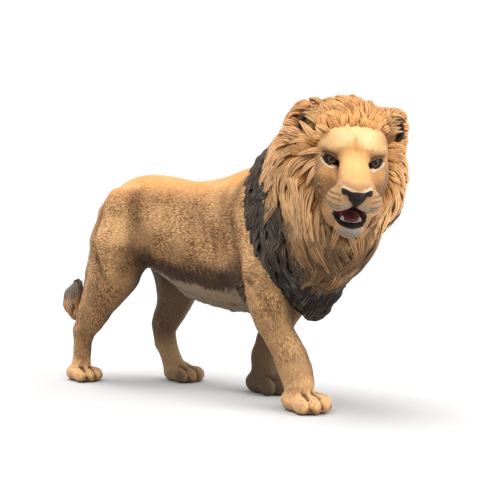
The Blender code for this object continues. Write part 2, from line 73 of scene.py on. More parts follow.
def turn(yaw=0.0, pitch=0.0, roll=0.0):
    """Rotation matrix: roll about x, then pitch about y, then yaw about z, in degrees."""
    y, p, r = (math.radians(a) for a in (yaw, pitch, roll))
    cy, sy, cp, sp, cr, sr = math.cos(y), math.sin(y), math.cos(p), math.sin(p), math.cos(r), math.sin(r)
    rz = np.array([[cy, -sy, 0], [sy, cy, 0], [0, 0, 1]])
    ry = np.array([[cp, 0, sp], [0, 1, 0], [-sp, 0, cp]])
    rx = np.array([[1, 0, 0], [0, cr, -sr], [0, sr, cr]])
    return rz @ ry @ rx


class Place:
    """A local frame: origin, rotation whose columns are its axes, and size."""

    def __init__(self, origin=(0, 0, 0), axes=np.eye(3), size=1.0):
        self.o, self.a, self.s = np.array(origin, float), np.array(axes, float), size

    def out(self, p):
        """Local points in the lion's frame."""
        return self.o + self.s * (np.asarray(p, float) @ self.a.T)

    def into(self, p):
        """Points of the lion's frame in this one."""
        return (np.asarray(p, float) - self.o) @ self.a / self.s


WORLD = Place()
HEAD = Place(HEAD_AT, turn(*HEAD_TURN), HEAD_SIZE)

eye_low, eye_high = (np.array(v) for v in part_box("eye_right"))
SHIFT = (eye_low + eye_high) / 2 / MM - HEAD.out((EYE_FORWARD, -EYE_NODE_SPACING, 0))
SHIFT[2] = 0.0


def placed(points):
    """Millimetres in the lion's frame to metres in the row frame."""
    return (np.asarray(points, float) + SHIFT) * MM


def linear(code):
    """sRGB hex code to linear red, green, blue."""
    c = np.array([int(code[i : i + 2], 16) for i in (0, 2, 4)]) / 255
    return np.where(c <= 0.04045, c / 12.92, ((c + 0.055) / 1.055) ** 2.4)


# ---------------------------------------------------------------- clay


def smin(a, b, k):
    """Smaller of two distances, rounded over a width k."""
    h = np.maximum(k - np.abs(a - b), 0) / k
    return np.minimum(a, b) - h * h * k * 0.25


def ball(centre, radii, yaw=0, pitch=0, roll=0, k=2.0, place=WORLD):
    """Ellipsoid: |q/r| (|q/r| - 1) / |q/r^2| is nearly its distance."""
    radii = np.array(radii, float) * place.s
    c = place.out(centre)
    a = place.a @ turn(yaw, pitch, roll)
    reach = np.abs(a) @ radii

    def distance(p):
        q = (p - c) @ a
        k0 = np.sqrt(((q / radii) ** 2).sum(-1)) + 1e-9
        k1 = np.sqrt(((q / radii**2) ** 2).sum(-1)) + 1e-9
        return k0 * (k0 - 1) / k1

    return c - reach, c + reach, distance, k


def limb(stops, k=2.0, own=1.0, place=WORLD, flat=1.0):
    """Round cones through stops (x, y, z, radius), narrowed sideways by the flat factor."""
    pts = place.out([s[:3] for s in stops])
    rs = np.array([s[3] for s in stops]) * place.s
    lo, hi = (pts - rs[:, None]).min(0), (pts + rs[:, None]).max(0)

    def distance(p):
        out = None
        for a, b, ra, rb in zip(pts[:-1], pts[1:], rs[:-1], rs[1:]):
            ab = b - a
            t = np.clip(((p - a) @ ab) / (ab @ ab), 0, 1)
            off = (p - a - t[..., None] * ab) / np.array((1, flat, 1))
            q = (np.linalg.norm(off, axis=-1) - (ra + t * (rb - ra))) * (1 + flat) / 2
            out = q if out is None else smin(out, q, own)
        return out

    return lo, hi, distance, k


def eased(x, xs, ys):
    """Smooth cubic through (xs, ys)."""
    xs, ys = np.asarray(xs, float), np.asarray(ys, float)
    m = np.gradient(ys, xs)
    i = np.clip(np.searchsorted(xs, x) - 1, 0, len(xs) - 2)
    h = xs[i + 1] - xs[i]
    t = (x - xs[i]) / h
    t2, t3 = t * t, t * t * t
    rise = (2 * t3 - 3 * t2 + 1) * ys[i] + (3 * t2 - 2 * t3) * ys[i + 1]
    return rise + h * ((t3 - 2 * t2 + t) * m[i] + (t3 - t2) * m[i + 1])


def loft(stations, place=WORLD, k=2.0, power=2.3):
    """Superellipse sections along local x: stations (x, top, bottom, half width)."""
    st = np.array(stations, float)
    x0, x1, wide = st[0, 0], st[-1, 0], st[:, 3].max()
    ends = [(x, s * wide, z) for x in (x0, x1) for s in (-1, 1) for z in (st[:, 2].min(), st[:, 1].max())]
    w = place.out(ends)

    def distance(p):
        q = place.into(p)
        x = q[..., 0]
        xc = np.clip(x, x0, x1)
        top, bottom, half = (eased(xc, st[:, 0], st[:, c]) for c in (1, 2, 3))
        mid, high, half = (top + bottom) / 2, np.maximum((top - bottom) / 2, 0.05), np.maximum(half, 0.05)
        rel = (np.abs(q[..., 1] / half) ** power + np.abs((q[..., 2] - mid) / high) ** power) ** (1 / power)
        near = np.hypot(q[..., 1], q[..., 2] - mid) * (1 - 1 / (rel + 1e-9))
        over = np.maximum(np.maximum(x0 - x, x - x1), 0)
        return place.s * np.where(over > 0, np.hypot(np.maximum(near, 0), over), near)

    return w.min(0), w.max(0), distance, k


def line_distance(p, path):
    """Distance of points from a polyline."""
    best = np.full(p.shape[:-1], 1e9)
    for a, b in zip(path[:-1], path[1:]):
        ab = b - a
        t = np.clip(((p - a) @ ab) / (ab @ ab), 0, 1)
        best = np.minimum(best, np.linalg.norm(p - a - t[..., None] * ab, axis=-1))
    return best


class Clay:
    """A solid as signed distance on a grid."""

    def __init__(self, lo, hi, step):
        self.lo, self.step = np.array(lo, float), step
        n = np.ceil((np.array(hi, float) - self.lo) / step).astype(int) + 1
        self.f = np.full(n, 50.0, np.float32)

    def part(self, lo, hi, pad):
        """Slices and points of the grid inside a padded box."""
        a = np.clip(np.floor((lo - pad - self.lo) / self.step).astype(int), 0, None)
        b = np.clip(np.ceil((hi + pad - self.lo) / self.step).astype(int) + 1, None, self.f.shape)
        if (b <= a).any():
            return None, None
        axes = [self.lo[i] + self.step * np.arange(a[i], b[i]) for i in range(3)]
        return tuple(slice(i, j) for i, j in zip(a, b)), np.stack(np.meshgrid(*axes, indexing="ij"), -1)

    def add(self, *shapes):
        """Smooth union with shapes."""
        for lo, hi, distance, k in shapes:
            where, p = self.part(lo, hi, k + 2 * self.step)
            if where is not None:
                self.f[where] = smin(self.f[where], distance(p).astype(np.float32), k)
        return self

    def cut(self, *shapes):
        """Smooth difference with shapes."""
        for lo, hi, distance, k in shapes:
            where, p = self.part(lo, hi, k + 2 * self.step)
            if where is not None:
                self.f[where] = -smin(-self.f[where], distance(p).astype(np.float32), k)
        return self

    def press(self, path, width, depth, place=WORLD):
        """Sinks (or raises, if depth is under 0) the surface along a path: depth exp(-(d/width)^2)."""
        path = place.out(path)
        where, p = self.part(path.min(0), path.max(0), 2.5 * width)
        if where is not None:
            fall = np.exp(-((line_distance(p, path) / width) ** 2))
            self.f[where] += (depth * fall).astype(np.float32)
        return self

    def floor(self, z, k=0.8):
        """Flat sole at height z."""
        heights = self.lo[2] + self.step * np.arange(self.f.shape[2])
        self.f = -smin(-self.f, -(z - heights)[None, None, :].astype(np.float32), k)
        return self

    def sample(self, p):
        """Distance at points, by trilinear reading of the grid."""
        q = (p - self.lo) / self.step
        i = np.clip(np.floor(q).astype(int), 0, np.array(self.f.shape) - 2)
        t = np.clip(q - i, 0, 1)
        out = 0.0
        for dx in (0, 1):
            for dy in (0, 1):
                for dz in (0, 1):
                    w = np.abs(1 - dx - t[..., 0]) * np.abs(1 - dy - t[..., 1]) * np.abs(1 - dz - t[..., 2])
                    out = out + w * self.f[i[..., 0] + dx, i[..., 1] + dy, i[..., 2] + dz]
        return out

    def normal(self, p, h=0.6):
        """Outward direction at points."""
        g = np.stack([self.sample(p + h * e) - self.sample(p - h * e) for e in np.eye(3)], -1)
        return g / (np.linalg.norm(g, axis=-1, keepdims=True) + 1e-9)

    def mesh(self):
        """Surface net: one point in each mixed cell at the mean of its edge crossings, quads between."""
        f = self.f
        inside = f < 0
        sx, sy, sz = (n - 1 for n in f.shape)
        corners = np.array([(i, j, k) for i in (0, 1) for j in (0, 1) for k in (0, 1)])
        c = [inside[i : sx + i, j : sy + j, k : sz + k] for i, j, k in corners]
        mixed = np.logical_or.reduce(c) & ~np.logical_and.reduce(c)
        ids = np.full(mixed.shape, -1, np.int64)
        cells = np.argwhere(mixed)
        ids[mixed] = np.arange(len(cells))
        v = np.stack([f[cells[:, 0] + i, cells[:, 1] + j, cells[:, 2] + k] for i, j, k in corners], 1)
        total, count = np.zeros((len(cells), 3)), np.zeros(len(cells))
        for a in range(8):
            for b in range(a + 1, 8):
                if np.abs(corners[a] - corners[b]).sum() != 1:
                    continue
                cross = (v[:, a] < 0) != (v[:, b] < 0)
                t = np.where(cross, v[:, a] / np.where(cross, v[:, a] - v[:, b], 1), 0)
                total += cross[:, None] * (corners[a] + t[:, None] * (corners[b] - corners[a]))
                count += cross
        verts = self.lo + self.step * (cells + total / count[:, None])
        quads = []
        for ax in range(3):
            u, w = (ax + 1) % 3, (ax + 2) % 3
            s0, s1 = [slice(None)] * 3, [slice(None)] * 3
            s0[ax], s1[ax] = slice(0, f.shape[ax] - 1), slice(1, f.shape[ax])
            a, b = inside[tuple(s0)], inside[tuple(s1)]
            for flip, hit in ((False, a & ~b), (True, ~a & b)):
                e = np.argwhere(hit)
                e = e[(e[:, u] > 0) & (e[:, w] > 0) & (e[:, u] < f.shape[u] - 1) & (e[:, w] < f.shape[w] - 1)]
                q = []
                for du, dw in ((-1, -1), (0, -1), (0, 0), (-1, 0)):
                    cell = e.copy()
                    cell[:, u] += du
                    cell[:, w] += dw
                    q.append(ids[cell[:, 0], cell[:, 1], cell[:, 2]])
                q = np.stack(q, 1)
                quads.append(q[:, ::-1] if flip else q)
        return verts, np.concatenate(quads)


# ---------------------------------------------------------------- the lion's masses

# Trunk and muzzle: (x, top, bottom, half width). Legs and tail: (x, y, z, radius).
TRUNK = (
    (-36.6, 47.5, 42, 2.5), (-35.0, 51.2, 39, 5.2), (-32.0, 54.8, 37, 7.6), (-27.5, 57.4, 35.3, 9.3),
    (-22, 58.3, 33.0, 10.0), (-14, 57.5, 29.2, 10.1), (-6, 56.2, 25.2, 10.7), (2, 56.7, 23.3, 11.8),
    (10, 57.9, 22.4, 12.5), (18, 59.3, 22.6, 12.4), (25, 59.6, 25, 11.6), (31, 57.5, 29, 10.0),
    (36, 54, 34, 7.5), (38.5, 50, 39, 3),
)
MUZZLE = (
    (-4, 3.2, -3, 3.1), (0, 2.4, -4, 3.2), (4, 0.5, -6, 3.6), (8, -1.9, -7.5, 4.0),
    (10.4, -3.4, -8, 4.1), (11.7, -4.5, -7.5, 3.3),
)
HIND_RIGHT = (
    (-26.8, -8.0, 38, 9.8), (-27.9, -9.0, 31.6, 7.8), (-29.5, -9.3, 28.6, 6.7), (-31.1, -9.4, 26, 5.8),
    (-34.8, -9.4, 20.4, 4.4), (-36.8, -9.4, 17.6, 3.9), (-38.9, -9.3, 14.8, 3.1), (-40.2, -9, 12, 2.65),
    (-41.0, -8.8, 9.2, 2.6), (-41.6, -8.5, 5.5, 3.0),
)
HIND_LEFT = (
    (-21, 8.0, 38, 9.0), (-19.6, 8.6, 30, 7.2), (-20.5, 8.8, 25.6, 6.1), (-21.5, 8.9, 22.7, 5.2),
    (-22.8, 8.9, 19.9, 4.6), (-24.5, 8.8, 17, 4.2), (-25.5, 8.8, 14.1, 3.25), (-24.7, 8.6, 11.3, 3.1),
    (-23.7, 8.5, 8.4, 2.95), (-22.2, 8.4, 5.3, 3.25),
)
UPPER_RIGHT = ((25.5, -8.8, 41, 6.8), (23.8, -9.8, 33, 6.1), (24.2, -10.2, 29, 5.1))
FORE_RIGHT = (
    (24.4, -10.2, 29.0, 5.0), (25.7, -10.0, 24.9, 5.1), (26.6, -9.9, 21.5, 4.5), (28.6, -9.8, 17.8, 3.8),
    (30.4, -9.6, 15.1, 3.8), (31.7, -9.4, 12.6, 4.0), (32.8, -9.2, 9.7, 4.0), (33.6, -9.0, 6.9, 3.9),
)
UPPER_LEFT = ((26, 8.8, 41, 6.8), (22.5, 9.6, 32, 5.9), (20.5, 9.6, 29, 5.3))
FORE_LEFT = (
    (20.0, 9.6, 29.5, 5.1), (17.5, 9.2, 23.5, 4.7), (14.7, 8.8, 18, 4.0), (12.5, 8.2, 14, 3.5),
    (11.0, 7.8, 10, 3.3), (11.3, 7.5, 6, 3.6),
)
TAIL = (
    (-35.0, 0, 51.5, 3.4), (-38.9, -0.4, 47.5, 2.8), (-41.4, -1.6, 40, 2.3), (-41.8, -3.8, 30.5, 2.1),
    (-42, -5.6, 23, 1.9), (-43.2, -6.4, 18.9, 1.8), (-45.4, -6.9, 18.4, 1.7), (-46.2, -7.1, 21, 1.8),
    (-45.7, -7.2, 24, 1.5),
)
TOES = ((-3.2, 2.5, 1.0), (-1.15, 3.9, 1.08), (1.15, 3.9, 1.08), (3.2, 2.5, 1.0))
# Paws: where each stands, its yaw and its size. Toes: across, ahead, size.
PAWS = (
    ((-41.5, -8.3), -4, 0.91), ((-18.4, 8.3), -4, 1.0), ((34.6, -8.4), -14, 1.08), ((12.5, 7.2), -6, 1.12),
)

TOE_GAPS = ((-2.15, 4.2), (0, 5.2), (2.15, 4.2))
PAW_PLACES = [Place((*foot, 0), turn(yaw), size) for foot, yaw, size in PAWS]

# Pressed lines on the body: path, width, depth (under 0 is raised).
LINES = (
    (((21.5, -14, 33), (24, -14.5, 30), (27.5, -14, 26), (29.5, -13.5, 22.5)), 0.9, 0.5),
    (
        (
            (19, -11.5, 57.3), (16.2, -13, 51), (15.8, -13.6, 47.5), (17, -14, 42.9), (19.3, -14.2, 34.5),
            (20, -14, 30),
        ),
        1.2, 0.85,
    ),
    (((13.6, -12.4, 55), (12.8, -12.8, 48), (13.8, -13.2, 42)), 1.3, -0.45),
    (((24.0, -13.6, 46), (26.5, -13.8, 40), (25.5, -14.4, 35), (23.5, -14.8, 31)), 1.1, 0.45),
    (((22.5, -14.6, 31), (22.6, -14.8, 27), (24.6, -14.6, 22), (26.8, -13.6, 18)), 0.8, 0.4),
    (((27.0, -14.8, 30), (28.6, -14.2, 24), (30.4, -13.2, 18)), 0.9, 0.28),
    (((18, 11.5, 57.3), (15.2, 13, 51), (14.8, 13.6, 46), (16, 14, 40), (17.6, 14.2, 33)), 1.2, 0.85),
    (((20.5, 13, 55), (18.6, 13.8, 48), (19.2, 14.2, 41), (20.5, 14.6, 35)), 1.8, -0.5),
    (((24.0, 13.6, 46), (26.0, 13.8, 40), (24.5, 14.4, 35), (21.5, 14.8, 31)), 1.1, 0.4),
    (((18.5, 14.4, 27), (17.0, 13.8, 22), (14.0, 12.6, 16)), 0.8, 0.35),
    (
        ((-30.5, -10.5, 50), (-30.6, -13, 42), (-29.5, -14, 36), (-27.8, -15, 31.5), (-24.9, -15.2, 27)),
        1.1, 0.8,
    ),
    (
        ((-19, -10.2, 53), (-18.2, -11.4, 47), (-17.4, -12.2, 41), (-18.2, -12.6, 35), (-20.6, -13.4, 30)),
        1.8, 1.0,
    ),
    (((-33.5, -13.8, 27), (-36.3, -12.8, 21), (-38.2, -12.4, 16)), 0.8, 0.35),
    (((-39.4, -11.8, 18.5), (-40.6, -11.4, 16)), 0.7, 0.3),
    (((-37.2, -12.2, 14), (-38.6, -11.8, 10), (-39.2, -11.6, 7.5)), 0.7, 0.25),
    (((-29.8, 9.6, 49), (-30.4, 11.6, 41), (-28.4, 13.4, 34), (-25, 14.6, 29)), 1.1, 0.8),
    (
        ((-15.5, 10.2, 53), (-14.6, 11.4, 47), (-13.6, 12.2, 41), (-14.2, 12.6, 35), (-15.6, 13.2, 30)),
        1.8, 0.9,
    ),
    (((-22.5, 13.2, 24), (-24.6, 12.6, 19), (-26, 12.2, 16)), 0.8, 0.35),
    *((((-12, s * 10.4, 52), (0, s * 11.8, 50.5), (12, s * 12.8, 50)), 2.2, 0.25) for s in (-1, 1)),
    *(
        (((-12, s * 10.4, 33), (-2, s * 11.4, 30), (8, s * 12.2, 29), (14, s * 12.6, 30)), 1.6, 0.4)
        for s in (-1, 1)
    ),
    *(
        (((x, s * 11.6, 47), (x + 1.2, s * 12.3, 40), (x + 0.6, s * 11.8, 34)), 0.9, 0.2)
        for s in (-1, 1)
        for x in (-6.5, -2.5, 1.5, 5.5, 9.5)
    ),
)


def hind_leg(stops, heel, thigh, radii, lean, s):
    """Thigh, shank, hamstring line and heel bone of one hind leg."""
    x, y, z = heel
    back = (stops[0][0] - 4.2, stops[0][1] - 0.6 * s, stops[0][2] + 1, 4.2)
    return [
        ball(thigh, radii, pitch=lean, roll=-4 * s, k=2.5),
        limb(stops, k=1.6, own=0.8, flat=0.76),
        limb((back, (x + 2.0, y, z + 7, 1.6)), k=1.5),
        limb(((x + 1.8, y, z + 6, 1.5), (x, y, z, 1.9), (x + 0.9, y, z - 6, 1.9)), k=1.2),
    ]


def body_clay():
    """Trunk, neck root, legs, paws and tail in one clay, with pressed muscle lines and toe gaps."""
    clay = Clay((-54, -20, -2), (58, 20, 64), BODY_STEP)
    clay.add(loft(TRUNK, k=2, power=2.25))
    clay.add(limb(((18, 0, 47, 11), (32, -3.5, 52, 10.0), (42, -8, 57.5, 9.0)), k=6, own=4))
    for s in (-1, 1):
        clay.add(
            ball((20.5, 9.0 * s, 46), (8.0, 4.4, 13.0), pitch=14, k=2.0),
            ball((25.6, 9.0 * s, 38), (7.0, 4.7, 7.5), k=2.0),
            ball((17.5, 10.3 * s, 35.5), (6.0, 3.7, 7.5), pitch=-25, k=1.6),
        )
    clay.add(*hind_leg(HIND_RIGHT, (-41.4, -9.2, 14.4), (-26.2, -7.6, 41.5), (9.0, 5.6, 13.4), 8, -1))
    clay.add(*hind_leg(HIND_LEFT, (-27.5, 8.8, 15.6), (-22.5, 7.8, 42), (9.4, 5.8, 12.6), 4, 1))
    clay.add(limb(UPPER_RIGHT, k=2.2, own=2, flat=0.88), limb(FORE_RIGHT, k=1.2, own=0.8, flat=0.96))
    clay.add(limb(UPPER_LEFT, k=2.2, own=2, flat=0.88), limb(FORE_LEFT, k=1.2, own=0.8, flat=0.96))
    clay.add(ball((20.6, -10.2, 28.8), (2.3, 2.4, 3.1), k=1.5), ball((8.6, 7.8, 8.6), (1.3, 1.7, 1.9), k=1.2))
    for paw in PAW_PLACES:
        clay.add(ball((-1.0, 0, 2.3), (5.0, 4.0, 3.1), k=1.2, place=paw))
        for y, x, r in TOES:
            clay.add(ball((x, y, 1.8), (2.7 * r, 1.4 * r, 2.2 * r), yaw=y * 5, pitch=12, k=0.7, place=paw))
            clay.press(((x + 1.3, y, 3.2), (x + 2.2, y, 2.3)), 0.6, -0.3, paw)
        for y, x in TOE_GAPS:
            clay.press(((x - 3.2, y * 0.9, 4.6), (x - 0.6, y, 3.4), (x + 1.0, y * 1.05, 1.0)), 0.45, 0.4, paw)
    clay.add(limb(TAIL, k=1.2, own=0.8))
    for path, width, depth in LINES:
        clay.press(path, width, depth)
    return clay.floor(0.0)


# Room inside the open mouth, in the head frame.
MOUTH = {"centre": (7.6, 0, -10.9), "radii": (6.6, 3.4, 1.75), "pitch": 8}
# Ridge of the lower lip round the front of the jaw: (x, y, z, radius).
LOWER_LIP = (
    (4.4, -3.5, -11.5, 0.45), (6.2, -3.0, -12.3, 0.5), (7.9, -2.1, -12.75, 0.55), (8.6, 0, -12.9, 0.55),
    (7.9, 2.1, -12.75, 0.55), (6.2, 3.0, -12.3, 0.5), (4.4, 3.5, -11.5, 0.45),
)


def head_clay():
    """Skull, brows, cheeks, muzzle, jaw, open mouth, sockets with lids, and pressed face lines."""
    clay = Clay((30, -44, 30), (72, 12, 80), HEAD_STEP)
    clay.add(
        ball((-8.5, 0, 2.2), (9.5, 8.4, 8.0), place=HEAD),
        ball((-3.7, 0, 3.0), (6.0, 7.5, 5.3), k=3, place=HEAD),
        ball((-4.0, 0, -5.5), (7.5, 7.4, 7.5), k=3, place=HEAD),
        limb(((-16, 0, -3, 8.0), (-6, 0, -3, 8.0)), k=3, place=HEAD),
        loft(MUZZLE, place=HEAD, k=1.4, power=2.9),
        ball((10.7, 0, -4.2), (2.1, 3.0, 1.5), pitch=28, k=0.8, place=HEAD),
    )
    for s in (-1, 1):
        clay.add(
            ball((-1.2, 4.5 * s, 2.1), (2.9, 3.0, 1.3), yaw=-18 * s, roll=4 * s, k=2.0, place=HEAD),
            ball((-3.2, 5.8 * s, -3.4), (5.6, 3.0, 4.6), k=2.0, place=HEAD),
            ball((7.9, 2.9 * s, -7.4), (3.8, 3.1, 2.75), yaw=8 * s, k=0.9, place=HEAD),
            limb(((-6, 4.4 * s, -9.5, 3.6), (2.5, 2.8 * s, -12.3, 2.3)), k=2.0, place=HEAD),
        )
    clay.add(
        limb(((-5, 0, -11, 4.5), (4.0, 0, -13.1, 2.7), (6.6, 0, -13.5, 2.5)), k=1.6, place=HEAD),
        ball((6.4, 0, -13.9), (2.2, 3.2, 1.9), k=1.0, place=HEAD),
    )
    clay.cut(ball(**MOUTH, k=0.5, place=HEAD))
    clay.add(limb(LOWER_LIP, k=0.5, own=0.4, place=HEAD))
    for s in (-1, 1):
        clay.cut(ball((1.2, 5.0 * s, -0.1), (1.9, 2.2, 1.15), yaw=34 * s, roll=25 * s, k=0.5, place=HEAD))
        clay.add(*(limb(lid_line(s, up), k=0.35, own=0.3, place=HEAD) for up in (1, -1)))
    for path, width, depth in FACE_LINES:
        clay.press(path, width, depth, HEAD)
        if any(abs(q[1]) > 1e-6 for q in path):
            clay.press([(x, -y, z) for x, y, z in path], width, depth, HEAD)
    return clay


def lid_line(s, up):
    """Arc of a lid over the eyeball, from the inner to the outer corner: (x, y, z, radius)."""
    stops = []
    for t in np.linspace(-1, 1, 7):
        high = -0.14 + 1.0 * t + (0.74 if up > 0 else -0.78) * (1 - t * t)
        side = EYE_SPACING + 1.95 * t
        bulge = EYE_RADIUS**2 - (0.72 * (side - EYE_SPACING)) ** 2 - high**2
        ahead = EYE_FORWARD + math.sqrt(max(bulge, 0.1))
        stops.append((ahead - 0.06 - 0.24 * (t + 1), side * s, high, 0.38 if up > 0 else 0.3))
    return stops


# Pressed lines of the face in the head frame, mirrored across it: path, width, depth.
FACE_LINES = (
    (((0.5, 0, 6.5), (1.6, 0, 4.2), (2.4, 0, 2.6)), 0.7, 0.22),
    (((2.6, 2.0, 2.0), (4.6, 2.5, 0.4), (7.2, 3.2, -1.9)), 0.7, -0.12),
    (((2.2, 3.0, -0.8), (4.4, 4.0, -2.8), (6.4, 4.8, -4.6)), 0.9, 0.35),
    (((3.0, 4.9, -2.0), (3.2, 6.2, -4.2), (2.8, 7.0, -6.6)), 0.9, 0.30),
    (((5.2, 5.0, -8.8), (3.6, 5.4, -9.6), (2.2, 5.6, -10.6)), 0.6, 0.45),
    (((11.8, 0, -7.0), (11.6, 0, -8.6), (10.8, 0, -9.6)), 0.35, 0.5),
    (((6.0, 5.7, -5.4), (8.2, 5.6, -5.9), (10.2, 4.8, -6.3)), 0.3, 0.28),
    (((5.6, 5.9, -6.8), (8.0, 5.9, -7.2), (10.4, 5.0, -7.5)), 0.3, 0.28),
    (((5.6, 5.8, -8.1), (8.0, 5.7, -8.5), (10.2, 4.8, -8.8)), 0.3, 0.24),
    (((8.6, 3.1, -3.3), (10.2, 3.0, -4.2)), 0.5, 0.25),
    (((3.5, 2.9, -15.4), (5.8, 2.6, -15.2)), 0.6, 0.2),
    (((-0.6, 2.6, 5.6), (1.4, 3.4, 3.9)), 0.8, 0.15),
)


def mane_clay(shrink):
    """Mass under the mane's locks: crown, cheek ruffs, beard, cape over the shoulders, chest."""
    clay = Clay((4, -42, 12), (72, 18, 82), MANE_STEP)
    throat, beard, point = (tuple(HEAD.out(p)) for p in ((-9, 0, -9), (-5.5, -1.0, -19), (-4.0, -1.5, -26.5)))
    chest = ((29, -2, 45, 12.0), (33, -4, 37, 9.4), (35.2, -5, 29.6, 4.7), (35.8, -5, 25.0, 1.8))
    clay.add(
        ball((-8.6, -0.8, 4.0), (8.0, 10.6, 8.8), k=4, place=HEAD),
        ball((-10.5, -8.8, -3), (7.0, 6.6, 10.6), k=5, place=HEAD),
        ball((-9.8, 7.4, -5), (6.6, 6.6, 10.6), k=5, place=HEAD),
        limb(((*throat, 11.2), (*beard, 7.8), (*point, 3.2)), k=5, own=6),
        limb(((22.5, 0, 49.5, 11.0), (32, -3, 53, 12.6), (40, -7, 57, 12.6)), k=5, own=5),
        limb(chest, k=5, own=5),
        ball((28.6, -8.8, 41.0), (5.6, 6.4, 9.0), pitch=-14, k=5),
        ball((27.0, 6.2, 41.5), (6.0, 6.6, 9.0), pitch=-14, k=5),
        *(ball((-11.0, y, 6.2), (4.6, 3.6, 5.0), k=3, place=HEAD) for y in (9.6, -9.6)),
    )
    clay.f += shrink
    return clay


class Both(Clay):
    """Two clays read as one smooth union."""

    def __init__(self, first, second, width):
        self.first, self.second, self.width = first, second, width

    def sample(self, p):
        """Smaller of the two distances, rounded over the width."""
        return smin(self.first.sample(p), self.second.sample(p), self.width)


# ---------------------------------------------------------------- meshes


def new_piece(name, points, faces, nodes, slot, material, **values):
    """Mesh piece at the origin on the one body; values are numbers, places or colours on its points."""
    mesh = bpy.data.meshes.new(name)
    mesh.from_pydata(placed(points).tolist(), [], np.asarray(faces).tolist())
    mesh.shade_smooth()
    mesh.materials.append(material)
    for key, value in values.items():
        value = np.asarray(value, np.float32)
        kind, field = ("FLOAT", "value") if value.ndim == 1 else ("FLOAT_VECTOR", "vector")
        if value.ndim == 2 and key in ("paint", "shade"):
            kind, field = "FLOAT_COLOR", "color"
            value = np.concatenate([value, np.ones((len(value), 1), np.float32)], 1)
        mesh.attributes.new(key, kind, "POINT").data.foreach_set(field, value.ravel())
    obj = bpy.data.objects.new(name, mesh)
    bpy.context.scene.collection.objects.link(obj)
    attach(obj, "root")
    if nodes:
        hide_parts(*nodes)
    return obj


def point_normals(points, quads):
    """Mean of the quad normals round each point."""
    a, b = points[quads[:, 2]] - points[quads[:, 0]], points[quads[:, 3]] - points[quads[:, 1]]
    n = np.cross(a, b)
    total = [sum(np.bincount(quads[:, c], n[:, i], len(points)) for c in range(4)) for i in range(3)]
    out = np.stack(total, 1)
    return out / (np.linalg.norm(out, axis=1, keepdims=True) + 1e-12)


def cavity(points, quads, rounds):
    """Height of the neighbours' mean above each point, in mm: over 0 in a groove."""
    normal = point_normals(points, quads)
    edges = np.concatenate([quads[:, [0, 1]], quads[:, [1, 2]], quads[:, [2, 3]], quads[:, [3, 0]]])
    count = np.bincount(edges[:, 0], minlength=len(points)) + np.bincount(edges[:, 1], minlength=len(points))
    mean = points
    for _ in range(rounds):
        mean = np.stack(
            [
                np.bincount(edges[:, 0], mean[edges[:, 1], i], len(points))
                + np.bincount(edges[:, 1], mean[edges[:, 0], i], len(points))
                for i in range(3)
            ],
            1,
        ) / count[:, None]
    return ((mean - points) * normal).sum(1)


def soft(x, a, b):
    """0 below a, 1 above b, smooth between (a may be over b)."""
    t = np.clip((x - a) / (b - a), 0, 1)
    return t * t * (3 - 2 * t)


def ripple(p, size, seed):
    """Smooth wandering number from -1 to 1 at points: sum of sines along random directions."""
    rng = np.random.default_rng(SEED + seed)
    out = 0.0
    for _ in range(9):
        way = rng.normal(size=3)
        way /= np.linalg.norm(way)
        out = out + np.sin((p @ way) * (2 * math.pi / size) * rng.uniform(0.6, 1.5) + rng.uniform(0, 6.3))
    return out / 4.0


# ---------------------------------------------------------------- materials

SMOOTH = {"interpolation_type": "SMOOTHSTEP"}


def shader(name, roughness, coat=0.0, specular=0.15):
    """Node material, its Principled shader, and the function that adds its nodes."""
    material = bpy.data.materials.new(name)
    material.use_nodes = True
    tree = material.node_tree

    def node(kind, links=None, output=0, **settings):
        """Adds a node of a kind (or takes one), sets it, feeds its inputs, and gives one output."""
        made = tree.nodes.new("ShaderNode" + kind) if isinstance(kind, str) else kind
        for key, value in settings.items():
            setattr(made, key, value)
        for key, value in (links or {}).items():
            if isinstance(value, bpy.types.NodeSocket):
                tree.links.new(value, made.inputs[key])
            else:
                made.inputs[key].default_value = (*value, 1.0) if isinstance(value, np.ndarray) else value
        return made.outputs[output]

    base = tree.nodes["Principled BSDF"]
    gloss = {"Roughness": roughness, "Specular IOR Level": specular}
    node(base, {**gloss, "Coat Weight": coat, "Coat Roughness": 0.25})
    return material, base, node


